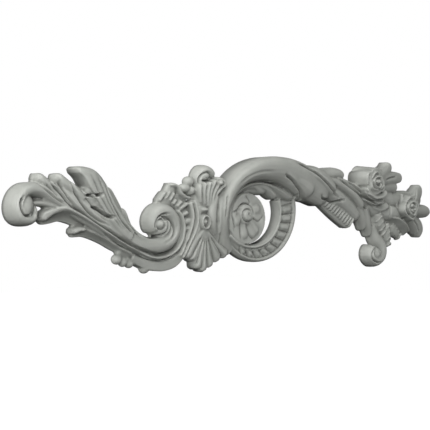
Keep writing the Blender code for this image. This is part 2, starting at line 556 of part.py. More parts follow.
def arc_leaves():
    """Leaves that wrap the arc's right half and end in lobes above the fern."""
    return [
        stroke(ROUND, [(86, 44, 9, 26), (106, 38, 13, 26.6), (122, 31.5, 15, 26), (136, 24.5, 12, 24)]),
        stroke(ROUND, [(108, 50, 5, 25), (124, 46.5, 9, 26), (142, 42, 12.5, 26), (160, 34.5, 13, 24.5),
                       (176, 25.5, 9, 22)]),
        stroke(ROUND, [(150, 44, 6.6, 22), (164, 45, 7.8, 21.5), (179, 46.8, 8, 20.5),
                       (196.8, 45.6, 7.2, 18.5)]),
        stroke(SPINE, [(160, 41, 6, 22), (180, 36.5, 6, 21.5), (198, 30.5, 6, 21), (216, 22, 6.4, 20),
                       (236, 9, 6, 18)]),
        stroke(ROUND, [(150, 32, 10, 22), (175, 26, 11, 20), (195, 18, 12, 18), (214, 8, 12, 16),
                       (232, -4, 9, 14)]),
        stroke(ROUND, [(178, 42, 4, 20), (200, 37.6, 4.4, 20), (220, 32, 5.4, 19), (240, 22, 7, 18),
                       (258, 12, 7, 17)]),
        stroke(BAND, [(108, 22.8, 5, 13), (124, 21.4, 6, 13), (140, 19.4, 6, 13), (154, 18.2, 4, 13)]),
    ]


def arc_leaf_grooves():
    """Overlap lines of the wrapped leaves, and the scallops above the fern."""
    return [
        ([(78, 42.6), (91.4, 37.1), (99.7, 32), (107.7, 26.9), (114.1, 21.6), (125.3, 13.8)], 1.9, 4),
        ([(98, 56), (117.2, 50.8), (134.8, 44.4), (150.5, 36.7), (166.1, 28.2), (181, 20)], 1.9, 3.6),
        ([(183, 40), (201.6, 32.5), (223, 24.8), (245.2, 16.8), (266, 11)], 2, 3),
        ([(108, 23), (109, 18), (110, 14)], 1.6, 4),
        ([(198, 38), (214, 33), (232, 25)], 1.8, 1.8),
        ([(146, 22), (149, 19), (157, 17.4), (166, 18), (174, 14.6), (184, 16.6), (194, 17.4)], 1.8, 4.5),
    ]


def fern():
    """Ribbed frond along the lower edge."""
    start = (163, 14.2)
    end = (214, -12.8)
    count = 12
    ribs = []
    for number in range(count):
        share = number / (count - 1)
        x = mix(start[0], end[0], share)
        z = mix(start[1], end[1], share)
        length = mix(6, 9, share)
        ribs.append(stroke(SPINE, [(x + 6, z + length, 1.7, 14.5), (x + 1.4, z + length * 0.4, 2, 13.6),
                                   (x - 0.6, z - 3.2, 1.9, 10)], round_start=True))
    return ribs + [
        stroke(BAND, [start + (4, 8), (187, 1, 5, 9), end + (5, 9)]),
        stroke(ROUND, [(168, 20, 5, 13.6), (190, 11, 8, 14), (214, -1, 7.6, 13.5)]),
    ]


def hanging_lobes():
    """Drooping lobes between the fern and the lower curl."""
    return [
        stroke(ROUND, [(209, 12, 9, 15), (222, 3, 8, 13.5), (229.4, -5, 5.5, 10)]),
        stroke(ROUND, [(228, 12, 10, 16), (239, 0, 8.8, 14.5), (244.4, -11, 6.4, 12),
                       (246.2, -19.4, 4.8, 9)]),
        stroke(ROUND, [(242, 8, 10, 16), (250, -7, 9, 14.5), (256.4, -18, 7.2, 12),
                       (258.6, -27.4, 4.8, 9)]),
        stroke(ROUND, [(248, 12, 9, 15), (264, 6, 9, 15), (282, 2, 9, 15), (300, 2, 9, 15)]),
    ]


def rose(centre, height, rings):
    """Heart of a rose: rings of overlapping petal edges round a rolled bud."""
    bodies = []
    for number, (radius, count, width, top) in enumerate(rings):
        for petal in range(count):
            turn = 360 * petal / count + 50 * number
            half = 205 / count
            start = on_circle(centre, radius * 0.9, turn - half,
                              ROSE_SPREAD) + (width * 0.7, height * top * 0.95)
            middle = on_circle(centre, radius * 1.04, turn, ROSE_SPREAD) + (width, height * top)
            end = on_circle(centre, radius * 0.96, turn + half,
                            ROSE_SPREAD) + (width * 0.7, height * top * 0.97)
            bodies.append(stroke(SPINE, [start, middle, end], round_start=True))
    return bodies


def roses():
    """The two roses: cups, petal edges, spread petals and the leaves under them."""
    first_rings = ((3.6, 2, 1.4, 1), (7, 3, 2.1, 0.99), (11.4, 3, 2.7, 0.95), (15.6, 4, 3, 0.88))
    second_rings = ((4.6, 3, 1.9, 1), (9, 3, 2.5, 0.95), (13.6, 4, 2.8, 0.88))
    first = [
        cup((245.2, 40.6), 20, 15.8, 28),
        bead(FIRST_ROSE[0], FIRST_ROSE[1], 28, 2.4, 5.4, 2.4),
        bead(252, 39, 16, 19, 12.5, 15),
        stroke(BAND, [(264, 46, 7, 24), (278, 50, 7.4, 20), (291, 56, 6.8, 16.6), (297.6, 65.6, 5.6, 14)],
               drop=0.2),
        stroke(BAND, [(264, 42, 8, 24), (284, 44.6, 9.2, 19.5), (306, 46.6, 8.4, 16),
                      (327, 47.4, 5.8, 13)], drop=0.2),
        stroke(ROUND, [(266, 32, 9, 22), (290, 35, 10, 18), (316, 35, 8, 14)]),
        stroke(RIGHT_CREST, [(228, 34, 2.6, 27), (232, 27, 4, 29), (245, 22.6, 4.6, 29),
                             (262, 24.6, 4.6, 28), (272, 31, 3.6, 26)], round_start=True),
        stroke(RIGHT_CREST, [(231, 27, 3.4, 17), (242, 20, 5, 20), (257, 16.6, 5.4, 21),
                             (276, 20, 5, 20)], round_start=True),
        stroke(RIGHT_CREST, [(248, 17, 4, 15.5), (262, 10.6, 5, 16.5), (276, 9, 5, 16.5),
                             (292, 14, 5, 16)], round_start=True),
    ]
    second = [
        cup((337, 11), 19, 14.5, 22),
        stroke(BAND, [(346, 15, 8, 20), (358, 23, 9, 16), (367.8, 30, 9, 13.4), (371.4, 40, 6.2, 12)],
               drop=0.2),
        stroke(ROUND, [(346, 6, 8, 21), (362, 5, 9, 18), (381, 5, 9, 15), (391, 4.6, 8, 13),
                       (399, 4, 5.8, 11)], drop=0.2),
        stroke(ROUND, [(345, 12, 9, 18), (360, 17, 10, 15), (374, 21, 8, 12)], drop=0.2),
        stroke(ROUND, [(338, -2, 8, 19), (354, -9, 10, 17), (369, -17.4, 12.6, 14),
                       (373, -29.8, 8.8, 11)], drop=0.2),
        stroke(SPINE, [(317, 29, 1.6, 12), (311.4, 14, 2.2, 14.4), (316, -4, 1.8, 13)], round_start=True),
        stroke(SPINE, [(324, 28, 1.6, 15), (318, 12, 2.2, 17.6), (322, -4, 1.8, 16)], round_start=True),
        stroke(SPINE, [(330, 27, 1.6, 18), (324.6, 11, 2.2, 20.6), (328, -5, 1.8, 19)], round_start=True),
    ]
    joining = [
        stroke(ROUND, [(262, 28, 10, 17), (285, 25, 11, 16), (305, 18, 12, 16)]),
        stroke(ROUND, [(230, 24, 8, 16), (250, 14, 8, 15), (272, 12, 8, 15)]),
        stroke(ROUND, [(296, 20, 11, 16), (316, 20, 11, 14), (334, 20.6, 11, 13), (352, 22, 10, 13)]),
        stroke(ROUND, [(296, 4, 11, 16), (312, 2, 11, 15), (328, 0, 9, 14)]),
        stroke(LEFT_COVE, [(298, -6, 3.6, 15), (311, -8.5, 6, 17.5), (322, -13.5, 8, 17.5),
                           (335, -18.6, 7.4, 15), (348, -23.6, 3.6, 11)]),
    ]
    edges = rose(FIRST_ROSE, 32, first_rings) + rose(SECOND_ROSE, 27, second_rings)
    return first + second + joining + edges


def rose_grooves():
    """Folds that fan out from the petals of the roses, and the hollow of the second bud."""
    return [
        ([(350, 38), (346, 28), (340, 20)], 1.5, 2),
        ([(358, 32), (352, 23), (345, 16)], 1.5, 2),
        ([(272, 62), (266, 54), (259, 49)], 1.5, 1.6),
        ([(306, 48), (290, 46), (276, 43)], 1.5, 1.6),
        ([(366, -22), (356, -13), (344, -6)], 1.5, 1.8),
        ([(SECOND_ROSE[0] - 1, SECOND_ROSE[1]), SECOND_ROSE,
          (SECOND_ROSE[0] + 1, SECOND_ROSE[1])], 2.4, 7),
    ]


def serrated_leaf(root, tip, width, height):
    """Small leaf with a midrib and slanted side veins."""
    middle = (mix(root[0], tip[0], 0.45), mix(root[1], tip[1], 0.45))
    bodies = [
        stroke(ROUND, [root + (width * 0.6, height - 2), middle + (width, height - 1.5),
                       tip + (width * 0.5, height - 4)]),
    ]
    along = Vector((tip[0] - root[0], tip[1] - root[1])).normalized()
    across = Vector((-along.y, along.x))
    for number in range(4):
        share = mix(0.12, 0.8, number / 3)
        foot = Vector((mix(root[0], tip[0], share), mix(root[1], tip[1], share)))
        for side in (-1, 1):
            end = foot + across * side * width * mix(1.0, 0.6, share) + along * 5
            bodies.append(stroke(SPINE, [(foot.x, foot.y, 1.3, height), (end.x, end.y, 1.3, height - 4)]))
    return bodies


def small_leaves():
    """Serrated leaves beside the lower curl and under the second rose."""
    return (serrated_leaf((268, 2), (281, -25), 10, 20) + serrated_leaf((296, -10), (300, -41), 6.8, 13.5)
            + serrated_leaf((310, -12), (330, -28), 8.4, 11))


def lower_curl():
    """Curl that hangs below the leaves at the rose end."""
    return [
        stroke(TUBE, [(264, -12, 8, 12), (270, -26, 9, 14), (279.6, -38, 8.8, 17),
                      (278.6, -50, 8.4, 17.6), (266, -56.4, 7.6, 17.6), (254.8, -50, 7.2, 17.2),
                      (255.8, -42.4, 6.2, 16.8), (263, -40, 4.4, 16)]),
        bead(266, -48, 8, 11, 9.4, 9),
    ]


def lower_curl_grooves():
    """Groove that rolls up the lower curl."""
    return [
        ([(266, -40.2), (259, -41), (253.6, -45), (252.8, -50), (256.4, -54.8), (264, -57.4),
          (271, -58)], 1.5, 4),
    ]


def carve(mesh, grooves):
    """Presses grooves into the face of a mesh: each is a path with its half width and depth."""
    count = len(mesh.vertices)
    places = numpy.zeros(count * 3)
    mesh.vertices.foreach_get("co", places)
    places = places.reshape(count, 3) / MM
    slopes = numpy.zeros(count * 3)
    mesh.vertices.foreach_get("normal", slopes)
    facing = slopes.reshape(count, 3)[:, 1] < -0.15
    for path, half_width, depth in grooves:
        line = smooth_path([(x, z, 0, 0) for x, z in path], GROOVE_PITCH)[0]
        samples = numpy.array([tuple(point)[:2] for _, point in line])
        low = samples.min(axis=0) - half_width
        high = samples.max(axis=0) + half_width
        flat = places[:, ::2]
        near = numpy.flatnonzero(facing & ((flat > low) & (flat < high)).all(axis=1))
        gaps = flat[near][:, None, :] - samples[None, :, :]
        distances = numpy.sqrt((gaps ** 2).sum(axis=2))
        reach = distances.min(axis=1) / half_width
        along = distances.argmin(axis=1) / max(1, len(samples) - 1)
        ends = numpy.clip(numpy.minimum(along, 1 - along) * 8, 0.25, 1)
        press = depth * ends * numpy.clip(1 - reach ** 2, 0, 1) ** 1.5
        kept = places[near, 1]
        places[near, 1] = numpy.minimum(kept + press, numpy.maximum(kept, -GROOVE_FLOOR))
    mesh.vertices.foreach_set("co", (places * MM).ravel())
    mesh.update()


def fit(mesh):
    """Stretches the carved mesh about the origin to the onlay's length, depth and height."""
    places = numpy.zeros(len(mesh.vertices) * 3)
    mesh.vertices.foreach_get("co", places)
    places = places.reshape(-1, 3) / MM
    span = places.max(axis=0) - places.min(axis=0)
    rise = -places[:, 1].min()
    mesh.transform(Matrix.Diagonal((LENGTH / span[0], DEPTH / rise, HEIGHT / span[2], 1)))


def joined(bodies):
    """One mesh, in metres, that holds all the bodies."""
    whole = bmesh.new()
    for body in bodies:
        piece = bpy.data.meshes.new("piece")
        body.to_mesh(piece)
        body.free()
        whole.from_mesh(piece)
        bpy.data.meshes.remove(piece)
    bmesh.ops.scale(whole, vec=(MM, MM, MM), verts=whole.verts)
    mesh = bpy.data.meshes.new(NAME)
    whole.to_mesh(mesh)
    whole.free()
    return mesh


def baked(thing):
    """Replaces an object's mesh by its evaluated one and clears its modifiers."""
    bpy.context.view_layer.update()
    evaluated = thing.evaluated_get(bpy.context.evaluated_depsgraph_get())
    thing.data = bpy.data.meshes.new_from_object(evaluated)
    thing.modifiers.clear()


def finish():
    """Material of the cast piece: matt grey primer."""
    material = bpy.data.materials.new("grey_primer")
    material.use_nodes = True
    shader = material.node_tree.nodes["Principled BSDF"]
    shader.inputs["Base Color"].default_value = (0.27, 0.28, 0.26, 1)
    shader.inputs["Roughness"].default_value = 0.6
    shader.inputs["Metallic"].default_value = 0
    return material


def main():
    """Builds the onlay from nothing."""
    for thing in list(bpy.data.objects):
        bpy.data.objects.remove(thing)
    parts = bpy.data.collections.new(NAME)
    cutters = bpy.data.collections.new("cutters")
    for collection in (parts, cutters):
        bpy.context.scene.collection.children.link(collection)

    features = (end_curl, left_leaf, volute, ear, shell, ring_scroll, rosette, inner_leaf, arc_leaves, fern,
                hanging_lobes, roses, small_leaves, lower_curl)
    cuts = (end_curl_grooves, leaf_grooves, volute_grooves, shell_grooves, ring_grooves, rosette_grooves,
            arc_leaf_grooves, rose_grooves, lower_curl_grooves)
    bodies = [body for feature in features for body in feature()]
    grooves = [groove for cut in cuts for groove in cut()]
    onlay = bpy.data.objects.new(NAME, joined(bodies))
    parts.objects.link(onlay)

    remesh = onlay.modifiers.new("Blend", "REMESH")
    remesh.mode = "VOXEL"
    remesh.voxel_size = VOXEL * MM
    soften = onlay.modifiers.new("Soften", "SMOOTH")
    soften.factor = 0.5
    soften.iterations = round(SOFTEN_PASSES)
    baked(onlay)
    carve(onlay.data, grooves)
    fit(onlay.data)

    thin = onlay.modifiers.new("Thin", "DECIMATE")
    thin.ratio = min(1.0, TRIANGLES * 1.05 / (2 * len(onlay.data.polygons)))
    thin.use_collapse_triangulate = True

    bpy.ops.mesh.primitive_cube_add(size=1, location=(0, DEPTH * MM / 2, 0))
    back = bpy.context.object
    back.name = "back_cutter"
    back.scale = (2 * LENGTH * MM, DEPTH * MM, 2 * HEIGHT * MM)
    for collection in list(back.users_collection):
        collection.objects.unlink(back)
    cutters.objects.link(back)
    back.hide_render = True
    back.display_type = "WIRE"
    flat = onlay.modifiers.new("Flat back", "BOOLEAN")
    flat.operation = "DIFFERENCE"
    flat.object = back

    onlay.data.materials.clear()
    onlay.data.materials.append(finish())
    onlay.data.shade_smooth()


main()
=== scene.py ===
"""Scroll onlay, dressed: the cast relief at its full fineness, in matt grey primer, under plain studio light.

Frame: the flat back lies in the plane Y = 0 and the carving rises towards -Y.
X runs along the ornament, from the curled tip to the roses, and Z is up.
Lengths in the tables are millimetres. A station is (x, z, half width, crown height).
"""

import logging
import math
from abc import ABC, abstractmethod
from collections.abc import Sequence
from dataclasses import dataclass
from enum import Enum
from typing import Any

import bmesh
import bpy
import numpy
from mathutils import Matrix, Vector


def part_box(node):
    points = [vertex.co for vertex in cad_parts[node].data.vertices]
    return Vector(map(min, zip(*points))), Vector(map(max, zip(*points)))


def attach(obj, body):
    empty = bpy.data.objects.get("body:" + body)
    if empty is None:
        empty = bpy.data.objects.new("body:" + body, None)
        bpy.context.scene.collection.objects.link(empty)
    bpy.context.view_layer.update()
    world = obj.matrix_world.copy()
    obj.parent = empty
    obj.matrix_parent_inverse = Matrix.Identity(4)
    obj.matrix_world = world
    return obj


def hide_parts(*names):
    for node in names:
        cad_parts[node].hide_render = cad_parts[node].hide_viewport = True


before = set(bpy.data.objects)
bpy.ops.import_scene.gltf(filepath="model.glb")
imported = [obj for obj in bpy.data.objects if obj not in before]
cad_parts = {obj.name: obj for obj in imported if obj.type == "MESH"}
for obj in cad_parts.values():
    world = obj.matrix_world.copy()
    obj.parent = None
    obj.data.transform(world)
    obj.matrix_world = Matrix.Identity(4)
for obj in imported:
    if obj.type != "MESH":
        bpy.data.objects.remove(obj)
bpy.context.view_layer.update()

Point = tuple[float, float]
Station = tuple[float, float, float, float]
Ring = tuple[float, int, float, float]
Links = dict[str, Any]
Samples = list[tuple[float, Vector]]

NODE = "scroll_onlay"
SLOT = "grey_primer"
MM = 0.001

# Fineness of the swept strokes, of their curves, of the beads and cups and of the grooves
STATION_PITCH = 2.0
SECTION_POINTS = 11
CURVE_STEPS = 16
BEAD_TURNS = 28
BEAD_RINGS = 16
CUP_TURNS = 64
GROOVE_PITCH = 0.5

# How far a form reaches behind the back plane as a share of its height, and half width left at a rounded end
FLOOR = -0.25
TIP_WIDTH = 0.08

# Thinnest stock under a groove, and width of a cup to its height
GROOVE_FLOOR = 1.5
CUP_SQUEEZE = 0.9

log = logging.getLogger(NODE)


def mix(a: float, b: float, share: float) -> float:
    """Value a share of the way from a to b."""
    return a + (b - a) * share


def on_circle(centre: Point, radius: float, degrees: float, stretch: float = 1.0) -> Point:
    """Finds a point on a circle that may be stretched along X.

    Args:
        centre: Middle of the circle.
        radius: Its radius.
        degrees: Angle of the point.
        stretch: Width of the circle as a share of its height.

    Returns:
        The point in the back plane.
    """
    angle = math.radians(degrees)
    return (centre[0] + stretch * radius * math.cos(angle), centre[1] + radius * math.sin(angle))


def smooth_path(stations: Sequence[Sequence[float]], pitch: float) -> tuple[Samples, float]:
    """Runs a Catmull-Rom curve through the stations and samples it at an even pitch.

    Args:
        stations: The points that the curve passes through.
        pitch: Distance between samples along the back plane.

    Returns:
        The samples, each with its distance from the start, and the whole length.
    """
    points = [Vector(station) for station in stations]
    guarded = [2 * points[0] - points[1]] + points + [2 * points[-1] - points[-2]]
    dense = []
    for before, start, end, after in zip(guarded, guarded[1:], guarded[2:], guarded[3:]):
        for step in range(CURVE_STEPS):
            t = step / CURVE_STEPS
            linear = (end - before) * t
            square = (2 * before - 5 * start + 4 * end - after) * t * t
            cubic = (3 * start - before - 3 * end + after) * t ** 3
            dense.append((2 * start + linear + square + cubic) / 2)
    dense.append(points[-1])
    run = [0.0]
    for near, far in zip(dense, dense[1:]):
        run.append(run[-1] + (far - near).xy.length)
    count = max(3, round(run[-1] / pitch))
    even = []
    place = 0
    for number in range(count + 1):
        distance = run[-1] * number / count
        while place < len(run) - 2 and run[place + 1] < distance:
            place += 1
        share = (distance - run[place]) / max(run[place + 1] - run[place], 1e-9)
        even.append((distance, dense[place].lerp(dense[place + 1], share)))
    return even, run[-1]


@dataclass(frozen=True)
class Section:
    """Shape across a stroke: sides and crown as shares of its height, crest as a share of its half width."""

    low_wall: float = 0.4
    high_wall: float = 0.4
    power: float = 2.0
    crest: float = 0.0

    def outline(self) -> list[Point]:
        """Works out the closed outline across a stroke.

        Returns:
            Side and height of each point, as shares of the half width and of the crown height.
        """
        points = [(-1.0, FLOOR)]
        for number in range(SECTION_POINTS):
            side = -math.cos(math.pi * number / (SECTION_POINTS - 1))
            wall = self.low_wall if side < self.crest else self.high_wall
            span = 1 + self.crest if side < self.crest else 1 - self.crest
            from_crest = min(1.0, abs(side - self.crest) / span)
            dome = (1 - from_crest ** self.power) ** (1 / self.power)
            points.append((side, mix(wall, 1, dome)))
        return points + [(1.0, FLOOR)]


class Kind(Enum):
    """Named sections. The low wall is on the right of a stroke's direction, seen from the front."""

    ROUND = Section()
    TUBE = Section(0.25, 0.25, 2.2)
    SPINE = Section(0.62, 0.62)
    BAND = Section(0.6, 0.6, 2.8)
    PLATE = Section(0.85, 0.85, 5.0)
    CHANNEL = Section(0.8, 0.9, 4.0)
    ARC = Section(0.48, 0.62, 2.2, crest=0.3)
    FOLD = Section(0.5, 0.97, 2.2, crest=0.6)
    RIGHT_COVE = Section(0.8, 0.3, 0.8, crest=-0.72)
    LEFT_COVE = Section(0.3, 0.8, 0.8, crest=0.72)
    RIGHT_CREST = Section(0.8, 0.3, 2.0, crest=-0.55)


class Form(ABC):
    """A closed solid that blends into the casting."""

    @abstractmethod
    def body(self) -> bmesh.types.BMesh:
        """Builds the solid, in millimetres."""


@dataclass(frozen=True)
class Stroke(Form):
    """A section swept along a path on the back plane, with its ends rounded off."""

    kind: Kind
    stations: Sequence[Station]
    round_start: bool = False
    round_end: bool = True
    drop: float = 0.4

    def placing(self, path: Samples, total: float, number: int) -> Matrix:
        """Finds where the unit section stands at one sample of the path.

        Args:
            path: The samples, each with its distance from the start.
            total: Length of the path.
            number: Which sample.

        Returns:
            The matrix that sets the section there.
        """
        distance, (x, z, width, height) = path[number]
        before = path[max(number - 1, 0)][1]
        after = path[min(number + 1, len(path) - 1)][1]
        along = (after - before).xy.normalized()
        ends = (
            (self.round_end, total - distance, self.stations[-1][2]),
            (self.round_start, distance, self.stations[0][2]),
        )
        for rounded, to_end, reach in ends:
            if rounded and to_end < reach:
                share = math.sqrt(max(0.0, 1 - (1 - to_end / reach) ** 2))
                width *= max(share, TIP_WIDTH)
                height *= 1 - self.drop * (1 - share)
        return Matrix((
            (-along.y * width, 0, along.x, x),
            (0, -height, 0, 0),
            (along.x * width, 0, along.y, z),
            (0, 0, 0, 1),
        ))

    def body(self) -> bmesh.types.BMesh:
        """Sweeps the section along the path.

        Returns:
            The closed stroke.
        """
        path, total = smooth_path(self.stations, STATION_PITCH)
        outline = self.kind.value.outline()
        solid = bmesh.new()
        bmesh.ops.create_circle(solid, segments=len(outline), radius=1)
        placed = self.placing(path, total, 0)
        for vert, (side, height) in zip(solid.verts, outline):
            vert.co = placed @ Vector((side, height, 0))
        ring = list(solid.edges)
        for number in range(1, len(path)):
            grown = bmesh.ops.extrude_edge_only(solid, edges=ring)["geom"]
            ring = [item for item in grown if isinstance(item, bmesh.types.BMEdge)]
            moved = [item for item in grown if isinstance(item, bmesh.types.BMVert)]
            following = self.placing(path, total, number)
            bmesh.ops.transform(solid, matrix=following @ placed.inverted(), verts=moved)
            placed = following
        bmesh.ops.holes_fill(solid, edges=solid.edges, sides=0)
        bmesh.ops.recalc_face_normals(solid, faces=solid.faces)
        return solid


@dataclass(frozen=True)
class Bead(Form):
    """Rounded knob whose middle is at the given height."""

    x: float
    z: float
    height: float
    radius: float
    deep: float | None = None
    tall: float | None = None

    def body(self) -> bmesh.types.BMesh:
        """Builds the knob.

        Returns:
            The closed ball, stretched to its three radii.
        """
        solid = bmesh.new()
        bmesh.ops.create_uvsphere(solid, u_segments=BEAD_TURNS, v_segments=BEAD_RINGS, radius=1)
        size = Matrix.Diagonal((self.radius, self.deep or self.radius, self.tall or self.radius, 1))
        place = Matrix.Translation((self.x, -self.height, self.z))
        bmesh.ops.transform(solid, matrix=place @ size, verts=solid.verts)
        return solid


@dataclass(frozen=True)
class Cup(Form):
    """Tapered cup that stands on the back plane, squeezed along the ornament."""

    centre: Point
    foot: float
    rim: float
    height: float
    squeeze: float = CUP_SQUEEZE

    def body(self) -> bmesh.types.BMesh:
        """Builds the cup.

        Returns:
            The closed cone.
        """
        solid = bmesh.new()
        depth = self.height * (1 - FLOOR)
        bmesh.ops.create_cone(
            solid, cap_ends=True, segments=CUP_TURNS, radius1=self.foot, radius2=self.rim, depth=depth
        )
        turned = Matrix.Rotation(math.radians(90), 4, "X")
        squeezed = Matrix.Diagonal((self.squeeze, 1, 1, 1))
        middle = Matrix.Translation((self.centre[0], -self.height * (1 + FLOOR) / 2, self.centre[1]))
        bmesh.ops.transform(solid, matrix=middle @ squeezed @ turned, verts=solid.verts)
        bmesh.ops.recalc_face_normals(solid, faces=solid.faces)
        return solid


@dataclass(frozen=True)
class Groove:
    """A line pressed into the blended face."""

    path: Sequence[Point]
    half_width: float
    depth: float


def fan(kind: Kind, root: Point, tips: Sequence[Point], root_width: float, tip_width: float,
        root_height: float, tip_height: float, bow: float = 0.0) -> list[Form]:
    """Spreads strokes from a root to a row of tips.

    Args:
        kind: Section of every stroke.
        root: Where they start.
        tips: Where they end.
        root_width: Half width at the root.
        tip_width: Half width at the tips.
        root_height: Height at the root.
        tip_height: Height at the tips.
        bow: How far each bends to one side, as a share of its length.

    Returns:
        The strokes.
    """
    strokes = []
    for x, z in tips:
        middle_x = mix(root[0], x, 0.55) + bow * (z - root[1])
        middle_z = mix(root[1], z, 0.55) - bow * (x - root[0])
        strokes.append(Stroke(kind, [
            (root[0], root[1], root_width, root_height),
            (middle_x, middle_z, mix(root_width, tip_width, 0.7), mix(root_height, tip_height, 0.5)),
            (x, z, tip_width, tip_height),
        ]))
    return strokes


class Feature(ABC):
    """One feature of the carving."""

    @abstractmethod
    def forms(self) -> list[Form]:
        """Lays out the solids that blend into the casting."""

    def grooves(self) -> list[Groove]:
        """Lays out the grooves; a feature has none unless it says so."""
        return []


@dataclass(frozen=True)
class EndCurl(Feature):
    """Curled tip at the narrow end, with its neck out of the leaf."""

    def forms(self) -> list[Form]:
        """Lays out the forms.

        Returns:
            The solids that blend into the casting.
        """
        return [
            Stroke(Kind.TUBE, [
                (-176, 3, 6, 15), (-190, 11, 6.6, 16), (-204, 18, 6.6, 16), (-215, 20.4, 6.2, 17),
                (-224, 19.1, 6.2, 18), (-230, 14, 6.1, 19), (-232.4, 6.2, 6.2, 19), (-230.4, -0.8, 6.1, 19),
                (-224.5, -4, 5.4, 18), (-218, -3, 4.6, 16.5), (-215, 2.4, 3.6, 15),
            ]),
            Bead(-225.6, 7, 8, 9, 11, 12),
            Bead(-215.4, 2, 8, 3.4, 6, 6),
            Stroke(Kind.PLATE, [(-220, 13.4, 6, 7.5), (-205, 13, 6, 7.5), (-188, 8, 5, 10)]),
            Stroke(Kind.SPINE, [
                (-218, 9.4, 2.2, 12), (-210, 9.8, 2.6, 12.5), (-202, 8.8, 2.6, 13), (-192, 6, 2.4, 14),
            ]),
        ]

    def grooves(self) -> list[Groove]:
        """Lays out the grooves.

        Returns:
            The grooves to press into the blended face.
        """
        return [
            Groove([
                (-229.6, 14.5), (-231.6, 11), (-232, 7), (-230.4, 2.4), (-227.6, -0.4), (-223.6, -0.4),
                (-221.2, 2),
            ], 1.5, 4),
        ]


